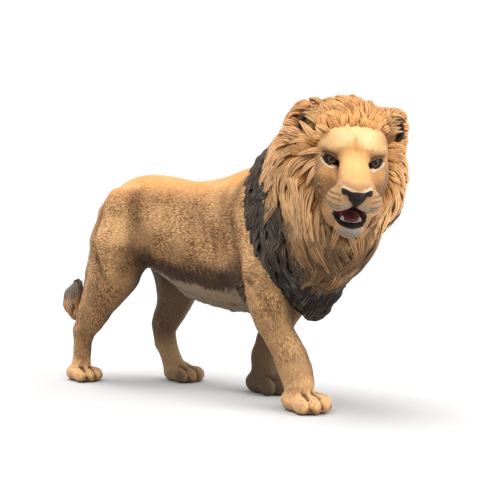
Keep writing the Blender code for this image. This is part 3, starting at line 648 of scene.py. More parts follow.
def hide_material():
    """Soft vinyl, moulded with short hair and sprayed with satin acrylic.

    The eye gets matt tan with dark wash left in hair grooves 2.7 to a millimetre along the body and
    down the legs, partly painted shade, in patches about 8 mm wide, and warm rubbed tips, partly
    painted highlights. The sculpt's deeper grooves get painted shade.
    """
    material, base, node = shader("painted_hide", 0.6, 0.02, 0.14)
    paint = node("Attribute", output="Color", attribute_name="paint")
    leg, deep, fine = (node("Attribute", output="Fac", attribute_name=key) for key in ("leg", "deep", "fine"))
    coords = node("TexCoord", output="Object")
    hairs = []
    for lean, squeeze in ((-32, (0.4, 1.0, 1.0)), (16, (1.0, 1.0, 0.4))):
        turned = (0.0, math.radians(lean), 0.0)
        lie = node("Mapping", {"Vector": coords, "Rotation": turned, "Scale": squeeze})
        hair = {"Vector": lie, "Scale": 2.7 / MM, "Detail": 1.5, "Roughness": 0.5, "Distortion": 0.5}
        hairs.append(node("TexNoise", hair))
    grain = node("Mix", {0: leg, 2: hairs[0], 3: hairs[1]}, data_type="FLOAT")
    speck = node("TexNoise", {"Vector": coords, "Scale": 4.2 / MM, "Detail": 1.0, "Roughness": 0.6})
    broad = node("TexNoise", {"Vector": coords, "Scale": 0.13 / MM, "Detail": 3.0, "Roughness": 0.6})
    height = node("Math", {0: speck, 1: 0.35, 2: grain}, operation="MULTIPLY_ADD")
    wash_and_shade = node("MapRange", {"Value": height, "From Min": 0.72, "From Max": 0.56, "To Max": 0.62}, **SMOOTH)
    wash_and_shade = node("Math", {0: wash_and_shade, 1: fine}, operation="MULTIPLY")
    patch = {"Value": broad, "From Min": 0.36, "From Max": 0.62, "To Min": 0.35, "To Max": 1.25}
    wash_and_shade = node("Math", {0: wash_and_shade, 1: node("MapRange", patch, **SMOOTH)}, operation="MULTIPLY")
    wear_and_highlight = node("MapRange", {"Value": height, "From Min": 0.72, "From Max": 0.86, "To Max": 0.7}, **SMOOTH)
    wear_and_highlight = node("Math", {0: wear_and_highlight, 1: fine}, operation="MULTIPLY")
    # The sculpt's grooves are darkened toward 3a2a1e: painted shade.
    deep = node("Math", {0: deep, 1: 0.62}, operation="MULTIPLY")
    dark, rubbed = (
        node("Mix", {0: 1.0, 6: paint, 7: linear(code)}, 2, data_type="RGBA", blend_type=blend)
        for code, blend in (("8c694a", "MULTIPLY"), ("fff0c8", "SOFT_LIGHT"))
    )
    colour = paint
    for amount, over in ((wash_and_shade, dark), (wear_and_highlight, rubbed), (deep, linear("3a2a1e"))):
        colour = node("Mix", {0: amount, 6: colour, 7: over}, 2, data_type="RGBA")
    bump = node("Bump", {"Height": height, "Distance": 0.5 * MM, "Strength": fine})
    node(base, {"Base Color": colour, "Normal": bump})
    return material


def lock_material(name):
    """Locks of soft vinyl, moulded in layers, with matt acrylic on the ridges over a dark wash that also
    paints shade in the grooves.

    The eye gets strands about 0.3 mm wide, darker grooves as painted shade and lighter worn ridges as
    painted highlights, in 3 mm blots. The place along and across each lock is in strand widths.
    """
    material, base, node = shader(name, 0.62, 0.02, 0.18)
    paint, shade = (node("Attribute", output="Color", attribute_name=key) for key in ("paint", "shade"))
    ridge = node("Attribute", output="Fac", attribute_name="ridge")
    at = node("Attribute", output="Vector", attribute_name="at_lock")
    coords = node("TexCoord", output="Object")
    strand = {"Vector": at, "Scale": 1.0, "Detail": 3.0, "Roughness": 0.6, "Distortion": 0.35}
    strands = node("TexNoise", strand)
    blots = node("TexNoise", {"Vector": coords, "Scale": 0.32 / MM, "Detail": 2.0})
    level = node("Math", {0: strands, 1: 1.5, 2: ridge}, operation="MULTIPLY_ADD")
    level = node("Math", {0: blots, 1: 0.7, 2: level}, operation="MULTIPLY_ADD")
    ridges = node("MapRange", {"Value": level, "From Min": 1.22, "From Max": 1.95}, **SMOOTH)
    wear_and_highlight = node("MapRange", {"Value": level, "From Min": 1.96, "From Max": 2.45, "To Max": 0.22}, **SMOOTH)
    light = node("Mix", {0: 1.0, 6: paint, 7: linear("fff0d2")}, 2, data_type="RGBA", blend_type="SCREEN")
    colour = node("Mix", {0: ridges, 6: shade, 7: paint}, 2, data_type="RGBA")
    colour = node("Mix", {0: wear_and_highlight, 6: colour, 7: light}, 2, data_type="RGBA")
    bump = node("Bump", {"Height": strands, "Distance": 0.3 * MM, "Strength": 0.8})
    node(base, {"Base Color": colour, "Normal": bump})
    return material


def enamel_material(name, code, roughness, coat=0.0):
    """Model enamel brushed on by hand: one colour with a faint mottle about 2 mm across."""
    material, base, node = shader(name, roughness, coat)
    coords = node("TexCoord", output="Object")
    noise = node("TexNoise", {"Vector": coords, "Scale": 0.5 / MM, "Detail": 3.0})
    mottle = node("MapRange", {"Value": noise, "From Min": 0.3, "From Max": 0.7}, **SMOOTH)
    thin = linear(code) * 0.88
    node(base, {"Base Color": node("Mix", {0: mottle, 6: thin, 7: linear(code)}, 2, data_type="RGBA")})
    return material


def eye_material():
    """Gloss enamel eye: black pupil, amber iris with 0.4 mm streaks, darker at its rim, near-black rest."""
    material, base, node = shader("enamel_eye", 0.2, 0.12)
    angle = node("Attribute", output="Fac", attribute_name="angle")
    coords = node("TexCoord", output="Object")
    streak = node("TexNoise", {"Vector": coords, "Scale": 2.5 / MM, "Detail": 1.0})
    streak = node("Math", {0: streak, 1: 0.3}, operation="MULTIPLY")
    iris, rest, pupil = (
        node("MapRange", {"Value": angle, "From Min": low, "From Max": high}, **SMOOTH)
        for low, high in ((14, 34), (33, 37), (18, 15))
    )
    colour = linear("7d4a24")
    for amount, over in ((iris, "2f190b"), (streak, "1c0e05"), (rest, "1a100b"), (pupil, "050403")):
        colour = node("Mix", {0: amount, 6: colour, 7: linear(over)}, 2, data_type="RGBA")
    node(base, {"Base Color": colour, "Coat Roughness": 0.05})
    return material


# ---------------------------------------------------------------- hide with paint

TAN, LIGHT_TAN, BACK, FOREHEAD_HIGHLIGHT, CHEEK = "d2a475", "dfb384", "cf9254", "f0c98a", "aa8159"
DARK, BLACK, BELLY, MAROON = "43301f", "0d0908", "7b6a56", "572a2c"


def layered(colour, layers):
    """Colour on each point: the first, moved toward each layer's colour by its mask in turn."""
    colours = linear(colour) if isinstance(colour, str) else colour
    for where, over in layers:
        over = linear(over) if isinstance(over, str) else over
        colours = colours + (over - colours) * np.clip(where, 0, 1)[:, None]
    return colours


def spot(p, centre, radii, edge, yaw=0, pitch=0, roll=0):
    """Mask 1 inside an ellipsoid, falling to 0 over an edge width in mm."""
    return soft(ball(centre, radii, yaw, pitch, roll)[2](p), edge, -edge)


def line_mask(p, path, width):
    """1 on a polyline, falling off as exp(-(distance / width)^2)."""
    return np.exp(-((line_distance(p, np.array(path, float)) / width) ** 2))


# Painted shade brushed over the flanks and thighs along the muscle forms: path as (x, z), width, amount.
MUSCLE_SHADE = (
    (((-20.0, 53.0), (-14.0, 51.5), (-7.0, 51.0)), 2.2, 0.55),
    (((-8.2, 52.2), (3.5, 47.1), (14.2, 38.7)), 3.0, 0.5),
    (((-14.5, 41.0), (-6.0, 39.0), (2.0, 36.5)), 2.4, 0.55),
    (((12.5, 52.0), (13.5, 44.0), (15.0, 37.0)), 2.0, 0.6),
    (((-33.0, 50.0), (-33.0, 42.0), (-31.5, 36.0)), 1.8, 0.4),
    (((-32.0, 27.0), (-36.0, 20.0), (-38.5, 13.0)), 2.2, 0.35),
    (((27.0, 30.0), (29.5, 22.0), (32.0, 12.0)), 1.6, 0.15),
)
# Painted highlights on the muscle tops: x, z, width, height.
MUSCLE_HIGHLIGHTS = (
    (-9.2, 47.5, 4.5, 3.6), (3.5, 39.5, 8.0, 3.2), (-24.5, 43, 3.6, 6.5), (-24.0, 32, 3.0, 5.0),
    (20.5, 44, 2.2, 7),
)
# Dark band along the flank, painted shade where the trunk turns under: places along the body, and the heights
# of its top and of the pale belly.
BAND_X = (-24, -14, -4, 6, 14, 20)
BAND_TOP = (38.5, 36.4, 35.2, 34.4, 33.4, 32.6)
BAND_LOW = (33.0, 31.2, 29.4, 28.3, 28.2, 28.4)


def body_paint(p, n):
    """Colours of trunk, legs and tail: lighter back, sides and undersides darkened as painted shade, painted
    shade and highlights on the muscles, and a dark flank band of painted shade over a paler belly.
    """
    x, y, z = p.T
    wob = ripple(p * (0.5, 1, 1), 5.0, 1)
    fine = ripple(p, 1.6, 2)
    leg, feet = soft(z, 34, 26), soft(z, 9, 4.5)
    top = soft(z + 0.8 * wob, 44, 57) * soft(n[:, 2], -0.1, 0.8)
    # Sides and undersides darker by the way they face: painted shade.
    facing_shade = np.interp(n[:, 2], [-0.7, -0.2, 0.15, 0.75], [0.5, 0.70, 0.88, 1.0])
    worked = soft(ripple(p * (1, 0.4, 1), 14.0, 3), -0.6, 1.0) * soft(z, 56, 50)
    wash_and_shade, muscle_shade, muscle_highlight = np.zeros((3, len(p)))
    # Painted shade along the pressed muscle lines, laid on as a dark wash.
    for path, width, depth in LINES:
        if depth > 0:
            wash_and_shade = np.maximum(wash_and_shade, depth * line_mask(p, path, width * 1.3))
    for path, width, amount in MUSCLE_SHADE:
        for s in (-1, 1):
            line = [(a + (3.0 if s > 0 and a < -10 else 0.0), s * 4.8, c) for a, c in path]
            muscle_shade = np.maximum(muscle_shade, amount * line_mask(p * (1, 0.4, 1), line, width))
    for a, c, wide, high in MUSCLE_HIGHLIGHTS:
        muscle_highlight = np.maximum(muscle_highlight, np.exp(-(((x - a) / wide) ** 2) - ((z - c) / high) ** 2))
    sides = layered(TAN, (
        (top, BACK),
        (0.5 * soft(wob + fine * 0.5, 0.2, 1.2) * (1 - leg), LIGHT_TAN),
        (muscle_shade, "7d5837"),
        (0.30 * worked, "86603c"),
        (0.25 * muscle_highlight, "e0ab70"),
        (np.clip(0.9 * wash_and_shade, 0, 0.85), "5d3f28"),
    )) * (facing_shade + (1 - facing_shade) * 0.6 * feet)[:, None]

    band_top, band_low = np.interp(x, BAND_X, BAND_TOP), np.interp(x, BAND_X, BAND_LOW)
    trunk = (1 - soft(np.abs(y), 15.5, 17)) * soft(x, -27, -20) * soft(x, 25, 19)
    limbs = np.max([
        spot(p, (-28, -10, 34), (9.0, 7, 13), 1.2, pitch=14),
        spot(p, (-23, 10, 33), (9.5, 7, 13), 1.2, pitch=8),
        spot(p, (24.4, -12, 30), (5.6, 7, 13), 1.0, pitch=-8),
        spot(p, (22, 12, 30), (5.6, 7, 13), 1.0, pitch=10),
    ], axis=0)
    side = trunk * (1 - limbs)
    edge = z + 0.9 * wob + 0.9 * ripple(p * (1, 0.3, 0.3), 0.9, 4)
    fade = np.exp(-(((x - 4) / 7.0) ** 2)) * soft(np.abs(edge - band_top), 3.0, 1.0)
    groin = spot(p, (-17, 0, 34), (4.0, 14, 6.5), 2.0, pitch=20) * (z > 24)
    elbow = np.maximum(*(spot(p, at, (3.2, 5, 6), 1.6) for at in ((18.0, -11.5, 31), (15.6, 11.5, 31))))
    inner_side_shade = soft(-n[:, 1] * np.sign(y), -0.45, 0.45) * soft(z, 36, 30)
    left_paw_shade = soft(y, 3, 5) * soft(z, 14, 8)
    tail = spot(p, (-42.5, -3.5, 33), (4.2, 4.5, 16), 0.6)
    gaps = [
        paw.out(((ahead - 3.0, at * 0.9, 4.4), (ahead - 0.6, at, 3.2), (ahead + 1.4, at * 1.05, 0.6)))
        for paw in PAW_PLACES
        for at, ahead in TOE_GAPS
    ]
    colours = layered(sides, (
        # Surfaces facing down on the trunk, darkened as painted shade.
        (0.32 * soft(n[:, 2], 0.2, -0.4) * soft(z, 52, 42), "8a6546"),
        # Dark band on the lower flank: painted shade where the trunk turns under. The belly below is paler,
        # greyed partly by painted shade.
        (side * soft(edge, band_top + 3.0, band_top - 2.4), linear(DARK) * 0.8),
        (0.45 * side * fade, "8f6a45"),
        (side * soft(edge, band_low + 0.3, band_low - 0.5), BELLY),
        # Groin and the hollow behind each elbow, darkened as painted shade.
        (0.7 * groin, DARK),
        (0.75 * elbow, DARK),
        # Painted highlight on the front of the right shoulder.
        (0.2 * soft(x, 19, 23) * soft(y, -6, -9) * soft(z, 44, 38), "dfb07c"),
        # Inner sides of the legs and the left paws, darkened as painted shade.
        (np.where(y > 0, 0.85, 0.7 * (1 - 0.5 * feet)) * inner_side_shade, "453524"),
        (0.6 * left_paw_shade * soft(x, -8, -12), "a88660"),
        (0.7 * left_paw_shade * soft(x, 0, 4), "57422e"),
        (0.3 * leg * soft(z, 31, 22) * soft(z, 6, 12), "6a4d33"),
        # Painted light on the tops of the right paws.
        (0.9 * feet * soft(y, 1, -1) * soft(n[:, 2], -0.5, 0.4), "e8b684"),
        # Painted shade at the soles, where the paws meet the floor.
        (0.8 * soft(z, 0.9, 0.15), "4a3a2c"),
        (0.5 * tail * soft(z, 40, 24), "76573a"),
        # Painted shade in the gaps between the toes.
        *((0.9 * soft(line_distance(p, gap), 0.8, 0.2), "5a4029") for gap in gaps),
    ))
    hair = np.interp(z, [8, 20, 34, 50, 54, 57], [0.7, 1.0, 1.1, 1.0, 0.5, 0.1])
    return colours, np.clip(leg, 0, 1), hair * (1 - 0.75 * side * soft(edge, band_low + 1, band_low))


def head_paint(p, n):
    """Colours of the face: soft spots and thin strokes in the head frame, mirrored across it."""
    q = HEAD.into(p)
    q[:, 1] = np.abs(q[:, 1])
    wob = ripple(p, 2.2, 5)
    fine = ripple(p, 0.9, 6)
    jitter = np.stack([wob, fine, wob - fine], 1)
    colours = np.tile(linear(CHEEK), (len(p), 1))

    def tint(centre, radii, edge, colour, amount=1.0, yaw=0, pitch=0, roll=0, rough=0.3):
        """One painted spot with a ragged edge."""
        nonlocal colours
        where = spot(q + rough * jitter, centre, radii, edge, yaw, pitch, roll)
        colours = layered(colours, ((amount * where, colour),))

    def stroke(path, width, colour, amount=1.0, edge=0.25, rough=0.1):
        """One brush line along a path."""
        nonlocal colours
        marks = np.linspace(0, len(path) - 1, 4 * len(path))
        line = np.stack([np.interp(marks, np.arange(len(path)), c) for c in np.array(path, float).T], 1)
        line = HEAD.out(line)
        for _ in range(3):  # settles onto the skull
            line = line - skull.normal(line) * skull.sample(line)[:, None]
        away = line_distance(q + rough * jitter, HEAD.into(line))
        colours = layered(colours, ((amount * soft(away, width + edge, width), colour),))

    tint((-2.5, 0, 6.5), (7.0, 6.6, 6.4), 1.6, TAN, 0.9)
    tint((0.2, 0, 6.0), (4.2, 5.4, 4.4), 1.6, "dcae78", 0.95)
    # Painted highlights on the brows and the top of the forehead.
    tint((0.6, 2.2, 4.9), (2.8, 2.0, 1.5), 1.4, "f3cf9a", 0.75, roll=9)
    tint((0.4, 5.0, 3.3), (2.2, 2.8, 0.9), 0.9, FOREHEAD_HIGHLIGHT, 0.25, roll=9)
    tint((-0.5, 0, 7.4), (3.0, 1.2, 2.0), 0.6, FOREHEAD_HIGHLIGHT, 0.5)
    stroke(((1.6, 0, 5.0), (2.8, 0, 2.8)), 0.12, "b98751", 0.55, 0.4)
    stroke(((1.8, 0.3, 2.7), (1.9, 2.4, 2.3), (1.2, 3.6, 2.2)), 0.25, "b0783f", 0.55, 0.7)
    # Painted shadow under the brow, above the outer eye.
    stroke(((1.5, 3.6, 1.5), (1.4, 5.0, 1.6), (0.6, 6.4, 2.1)), 0.3, "6b482c", 0.5, 0.6)
    tint((5.6, 0, -0.6), (7.4, 3.2, 3.0), 0.9, "cd985e", 1.0, pitch=32)
    tint((4.4, 0, 0.4), (4.2, 1.9, 1.6), 1.4, "e2ae70", 0.65, pitch=32)
    tint((5.0, 4.3, -3.0), (3.8, 1.3, 2.0), 0.7, "9a6a3e", 0.75, pitch=24)
    tint((2.6, 5.4, -3.2), (3.0, 2.3, 1.9), 1.0, "cd9961", 0.9)
    tint((1.6, 5.9, -6.0), (3.6, 2.2, 2.2), 1.0, "946b43", 0.7)
    tint((8.4, 4.2, -6.4), (3.6, 2.6, 2.4), 0.8, "a88660", 0.95)
    tint((9.0, 3.4, -8.9), (3.6, 3.2, 1.15), 0.6, "8d7d6a", 0.9)
    tint((4.6, 5.0, -9.2), (1.8, 1.6, 1.4), 0.8, "7c6247", 0.8)
    # Pale chin greyed by painted shade under the jaw, lighter just under the lip.
    tint((8.0, 0, -14.6), (3.2, 3.0, 1.5), 0.7, "746b60", 0.95)
    tint((8.6, 0, -13.8), (2.2, 2.6, 0.5), 0.5, "8e8478", 0.7)
    tint((4.0, 4.2, -13.2), (3.0, 1.6, 2.2), 0.9, "8a6a49", 0.8)
    # Sides of the face behind the whisker pads, darkened as painted shade.
    tint((-2.0, 6.6, -8.5), (4.6, 3.2, 4.4), 1.4, "8e6f4f", 0.7)
    tint((-0.6, 7.6, -4.4), (3.4, 1.8, 3.6), 1.2, "7a6048", 0.65)
    stroke(((11.2, 2.9, -4.2), (12.6, 1.3, -4.9), (12.8, 0, -5.1)), 0.14, "f2dcb8", 0.6, 0.35)
    stroke(((11.6, 2.4, -7.6), (11.6, 0.9, -9.3)), 0.3, "9a8b78", 0.6, 0.5)
    for step in range(4):
        low = -5.0 - 1.05 * step
        whiskers = ((6.0, 5.9, low), (8.2, 6.0, low - 0.5), (10.4, 4.8, low - 0.9), (11.2, 3.2, low - 1.1))
        stroke(whiskers, 0.08, "553818", 0.65, 0.24, 0.03)
    stroke(((12.4, 0, -7.2), (11.9, 0, -8.8), (11.0, 0, -9.8)), 0.3, BLACK, 1.0, 0.25)
    stroke(((2.4, 2.9, -0.9), (2.9, 2.8, -1.9)), 0.34, BLACK, 0.95)
    stroke(((2.9, 2.8, -1.9), (3.8, 3.2, -3.2), (5.2, 4.0, -4.4)), 0.2, "8a6038", 0.7, 0.8)
    stroke([(x, y, z - 0.85) for x, y, z, _ in lid_line(1, -1)], 0.2, "fbeacd", 0.95, 0.3, 0.04)
    # Painted shadow under the brow ridge, just above the upper lid.
    stroke([(x, y, z + 0.6) for x, y, z, _ in lid_line(1, 1)], 0.25, "4d311d", 0.8, 0.4, 0.05)
    lids = ball((1.1, EYE_SPACING, -0.1), (2.6, 2.1, 0.85), yaw=8, roll=27)[2](q)
    colours = layered(colours, ((soft(lids, 0.16, 0.0), BLACK),))
    stroke([(x, y, z - 0.12) for x, y, z, _ in lid_line(1, 1)], 0.2, BLACK, 1.0, 0.15, 0.03)
    stroke([(x, y, z) for x, y, z, _ in lid_line(1, -1)], 0.14, BLACK, 1.0, 0.15, 0.03)
    room = ball(**MOUTH)[2](q)
    lip = np.where(q[:, 2] > -11.0, 0.5, 0.6)
    inside = soft(room, 0.45, 0.15) * soft(q[:, 0], 8.6, 8.0)
    lips = soft(room, lip + 0.2, lip) * soft(q[:, 0], 1.0, 3.0)
    colours = layered(colours, ((lips, BLACK), (inside, MAROON)))
    stroke(((6.6, 4.4, -9.9), (5.2, 4.9, -10.2)), 0.3, BLACK, 0.9)
    stroke([(x + 0.35, y, z + 0.15) for x, y, z, _ in LOWER_LIP[3:]], 0.28, BLACK, 1.0, 0.15, 0.03)
    glossy = np.maximum(inside, soft(lids, 0.6, 0.3))
    stipple = spot(q, (-1.6, 6.8, -6.2), (4.4, 2.6, 5.6), 2.0)
    return colours, np.full(len(p), 0.15), (0.18 + 0.8 * stipple) * (1 - glossy)


rng = np.random.default_rng(SEED)
body, skull = body_clay(), head_clay()
halves = []
for clay, painter, strength in ((body, body_paint, 1.0), (skull, head_paint, 0.8)):
    points, quads = clay.mesh()
    # How deep each point sits in a groove, for the painted shade there.
    deep = soft(cavity(points, quads, 3) / clay.step, 0.03, 0.34) * strength
    halves.append((points, quads, *painter(points, point_normals(points, quads)), deep))
(body_points, body_quads), (head_points, head_quads) = (half[:2] for half in halves)
FLESH = [
    "trunk", "neck", "head", "tail", "fore_leg_left", "fore_leg_right", "fore_paw_left", "fore_paw_right",
    "hind_leg_left", "hind_leg_right", "hind_paw_left", "hind_paw_right",
]
HIDE = hide_material()
points, _, colours, leg, fine, deep = (np.concatenate(both) for both in zip(*halves))
quads = np.concatenate([body_quads, head_quads + len(body_points)])
new_piece("skin", points, quads, FLESH, "hide", HIDE, paint=colours, leg=leg, fine=fine, deep=deep)


# ---------------------------------------------------------------- eyes, nose, mouth, ears


def globe(centre, radius, ahead, rows=24, cols=32):
    """Sphere on a grid of polar angle from its forward direction and turn about it."""
    ahead = np.array(ahead, float) / np.linalg.norm(ahead)
    across = np.cross(ahead, (0, 0, 1))
    across /= np.linalg.norm(across)
    up = np.cross(across, ahead)
    polar = np.linspace(0.02, math.pi - 0.02, rows)[:, None, None]
    spin = (np.arange(cols) * 2 * math.pi / cols)[None, :, None]
    way = np.cos(polar) * ahead + np.sin(polar) * (np.cos(spin) * across + np.sin(spin) * up)
    pts = (np.array(centre) + radius * way).reshape(-1, 3)
    return pts, tube_faces(rows, cols), np.degrees(np.repeat(polar.ravel(), cols))


def tube_faces(rows, cols):
    """Quads of a grid that closes round in its second direction."""
    r, c = np.meshgrid(np.arange(rows - 1), np.arange(cols), indexing="ij")
    n = (c + 1) % cols
    return np.stack([r * cols + c, r * cols + n, (r + 1) * cols + n, (r + 1) * cols + c], -1).reshape(-1, 4)


enamel = eye_material()
for s, side in ((1, "left"), (-1, "right")):
    look_way = HEAD.a @ np.array((1.0, 0.16 * s, 0.03))
    pts, faces, angle = globe(HEAD.out((EYE_FORWARD, EYE_SPACING * s, 0)), EYE_RADIUS * HEAD_SIZE, look_way)
    new_piece("eyeball_" + side, pts, faces, ["eye_" + side], "eyes", enamel, angle=angle)

nose_clay = Clay(HEAD.out((9.5, 0, -6)) - 6, HEAD.out((9.5, 0, -6)) + 6, NOSE_STEP)
for s in (-1, 1):
    wing = ((10.1, 3.5 * s, -4.5, 0.42), (11.3, 2.3 * s, -5.4, 0.9), (11.9, 0, -6.3, 1.3))
    nose_clay.add(limb(wing, k=0.8, own=0.6, place=HEAD))
nose_clay.add(
    limb(((11.9, 0, -6.6, 1.25), (11.6, 0, -7.4, 0.75), (11.4, 0, -8.2, 0.3)), k=0.6, own=0.5, place=HEAD),
    ball((11.4, 0, -5.9), (0.9, 2.4, 0.8), pitch=20, k=0.8, place=HEAD),
)
for s in (-1, 1):
    nostril = ((12.5, 1.7 * s, -6.9, 0.3), (12.2, 2.3 * s, -6.5, 0.42), (11.4, 3.0 * s, -6.1, 0.36))
    nose_clay.cut(limb(nostril, k=0.3, place=HEAD))
nose_clay.press(((13.3, 0, -5.4), (13.0, 0, -6.6), (12.4, 0, -8.6)), 0.2, 0.25, HEAD)
new_piece("nose_pad", *nose_clay.mesh(), ["nose"], "nose", enamel_material("nose_enamel", "1c1314", 0.5))

mouth_clay = Clay(HEAD.out((6, 0, -12)) - 6, HEAD.out((6, 0, -12)) + 6, NOSE_STEP)
mouth_clay.add(ball((5.0, 0, -11.5), (3.0, 2.3, 0.9), pitch=10, k=0.5, place=HEAD))
mouth_clay.press(((3, 0, -10.6), (7.2, 0, -11.2)), 0.6, 0.15, HEAD)
tongue_paint = enamel_material("tongue_enamel", "65363a", 0.55)
new_piece("tongue_flesh", *mouth_clay.mesh(), ["tongue"], "tongue", tongue_paint)

teeth_clay = Clay(HEAD.out((7, 0, -12)) - 6, HEAD.out((7, 0, -12)) + 6, NOSE_STEP)
for s in (-1, 1):
    canine = ((6.7, 1.75 * s, -12.9, 0.5), (6.9, 1.8 * s, -12.1, 0.5), (7.1, 1.85 * s, -11.5, 0.32))
    teeth_clay.add(limb(canine, k=0.2, own=0.3, place=HEAD))
    for y, x in ((0.28, 7.55), (0.8, 7.45), (1.25, 7.25)):
        teeth_clay.add(ball((x, y * s, -12.4), (0.3, 0.26, 0.35), k=0.12, place=HEAD))
tooth_paint = enamel_material("tooth_ivory", "a99f92", 0.4, 0.1)
new_piece("lower_tooth_row", *teeth_clay.mesh(), ["lower_teeth"], "teeth", tooth_paint)

for s, side in ((1, "left"), (-1, "right")):
    way = {"yaw": -24 * s, "roll": -22 * s}
    cup = {"centre": (-5.1, 8.7 * s, 6.5), "radii": (2.1, 2.5, 2.9), **way}
    middle = HEAD.out((-7.6, 9.6 * s, 7.2))
    clay = Clay(middle - 8, middle + 8, EAR_STEP)
    clay.add(ball((-7.0, 8.9 * s, 6.2), (2.0, 3.3, 3.6), place=HEAD, **way))
    clay.cut(ball(**cup, k=0.5, place=HEAD))
    pts, faces = clay.mesh()
    room = ball(**cup)[2](HEAD.into(pts))
    colours = layered("a87850", ((soft(room, 1.5, 0.8), "33231a"), (soft(room, 0.3, 0.05), "3d2a1c")))
    none = np.zeros(len(pts))
    shown = {"paint": colours, "leg": none, "fine": none + 0.8, "deep": none}
    new_piece("ear_shell_" + side, pts, faces, ["ear_" + side], "hide", HIDE, **shown)


# ---------------------------------------------------------------- locks

# Cross-section of a lock: across (-1 to 1) and height, with three strands on top.
ACROSS = np.array([-1.0, -0.86, -0.62, -0.38, -0.18, 0.0, 0.2, 0.42, 0.64, 0.86, 1.0, 0.5, -0.5])
HEIGHT = np.array([0.0, 0.62, 0.86, 0.66, 0.92, 1.05, 0.70, 0.95, 0.84, 0.6, 0.0, -0.55, -0.55])
RIDGE = np.array([0.0, 0.55, 1.0, 0.15, 0.8, 1.0, 0.12, 0.95, 0.85, 0.5, 0.0, 0.0, 0.0])


def cape_weight(p):
    """0 in the pale ruff round the face, 1 in the dark cape behind and the chest."""
    q = HEAD.into(p)
    heights = [-36, -28, -26, -19, -12, -8, -4, 4, 12]
    edge = np.interp(q[:, 2], heights, [6, 1, -5.5, -8.4, -7.3, -7.8, -10.5, -14.5, -18])
    return soft(q[:, 0] + 0.5 * ripple(p, 6.0, 21), edge + 0.8, edge - 0.8)


BEARD_TIP = HEAD.out((-4.0, -1.0, -31.0))
CHEST_TIP = np.array((35.6, -5.0, 17.0))


def mane_flow(p):
    """Lie of the mane: out from the face, then back and down, drawn to the beard's or chest's tip."""
    q = HEAD.into(p)
    y, z = q[..., 1], q[..., 2] + 2.0
    radial = np.stack([np.zeros_like(y), y, z], -1)
    radial /= np.linalg.norm(radial, axis=-1, keepdims=True) + 1e-6
    far = np.clip((-q[..., 0] - 4.0) / 12.0, 0, 1)[..., None]
    low = np.clip((4.0 - q[..., 2]) / 14.0, 0, 1)[..., None]
    lower = np.clip((-4.0 - q[..., 2]) / 14.0, 0, 1)[..., None]
    cape = cape_weight(p.reshape(-1, 3)).reshape(p.shape[:-1])[..., None]
    outward = radial @ HEAD.a.T
    back = -HEAD.a[:, 0]
    down = np.array((-0.12, 0.0, -1.0))
    tip = cape * CHEST_TIP + (1 - cape) * BEARD_TIP - p
    tip /= np.linalg.norm(tip, axis=-1, keepdims=True) + 1e-6
    ruff = outward * (1.1 - far) * (1 - 0.6 * lower) + back * 0.8 * (1 - low) + down * (0.2 + low + 0.5 * far)
    shawl = np.array((-0.55, 0.0, -1.0)) + back * 0.25
    way = (1 - cape) * ruff + cape * shawl + tip * 1.3 * lower * np.where(cape > 0.5, p[..., 0:1] > 24, 1)
    return way / (np.linalg.norm(way, axis=-1, keepdims=True) + 1e-9)


def trace(field, flow, roots, lengths, lifts, curls, stations=15):
    """Paths from roots over a clay surface, following the flow, all at once: points, normals, tangents.

    The height above the surface goes from sunk at the root to `lifts` near the tip, and the heading
    turns by `curls` over the length.
    """
    p = roots.copy()
    n = field.normal(p)
    path, normals = [], []
    step = lengths[:, None] / (stations - 1)
    for k in range(stations):
        t = k / (stations - 1)
        p = p - n * field.sample(p)[:, None]
        n = field.normal(p)
        height = -0.45 + (0.45 + lifts) * soft(np.full(len(p), t), 0, 0.55)
        path.append(p + n * height[:, None])
        normals.append(n)
        way = flow(p)
        way = way - n * (way * n).sum(1, keepdims=True)
        way /= np.linalg.norm(way, axis=1, keepdims=True) + 1e-9
        side = np.cross(n, way)
        bend = (curls * math.sin(2.6 * t))[:, None]
        p = p + step * (way * np.cos(bend) + side * np.sin(bend))
    path, normals = np.stack(path, 1), np.stack(normals, 1)
    tangents = np.gradient(path, axis=1)
    tangents /= np.linalg.norm(tangents, axis=2, keepdims=True) + 1e-9
    normals = normals - tangents * (normals * tangents).sum(2, keepdims=True)
    normals /= np.linalg.norm(normals, axis=2, keepdims=True) + 1e-9
    return path, normals, tangents


def lock_grid(path, normals, tangents, widths, thicks, lengths):
    """Locks as tubes: swell(t) = (0.34 + 0.9 min(3.2 t, 1)) (1 - t^2.6)^0.75 times the width.

    The height is 0.25 + 0.75 swell(t) times the thickness. Also gives each point's ridge and place.
    """
    count, stations = path.shape[:2]
    t = np.linspace(0, 1, stations)
    swell = (0.34 + 0.9 * np.minimum(t * 3.2, 1)) * np.maximum(1 - t**2.6, 0) ** 0.75
    sides = np.cross(normals, tangents)
    w = (widths[:, None] * swell)[:, :, None, None] / 2
    h = (thicks[:, None] * (0.25 + 0.75 * swell) * np.where(t < 1, 1, 0.05))[:, :, None, None]
    pts = path[:, :, None, :] + sides[:, :, None, :] * ACROSS[:, None] * w
    pts = pts + normals[:, :, None, :] * HEIGHT[:, None] * h * 0.6
    cols = len(ACROSS)
    faces = tube_faces(stations, cols)[None] + (np.arange(count) * stations * cols)[:, None, None]
    seeds = (np.arange(count) * 7.31)[:, None, None]
    at = np.zeros((count, stations, cols, 3))
    at[..., 0] = ACROSS * widths[:, None, None] * 2.2 + seeds
    at[..., 1] = t[:, None] * lengths[:, None, None] * 0.30
    at[..., 2] = seeds * 1.7
    ridge = np.zeros((count, stations, cols)) + RIDGE * (0.45 + 0.55 * soft(t, 0.05, 0.5))[:, None]
    return pts.reshape(-1, 3), faces.reshape(-1, 4), ridge.ravel(), at.reshape(-1, 3)


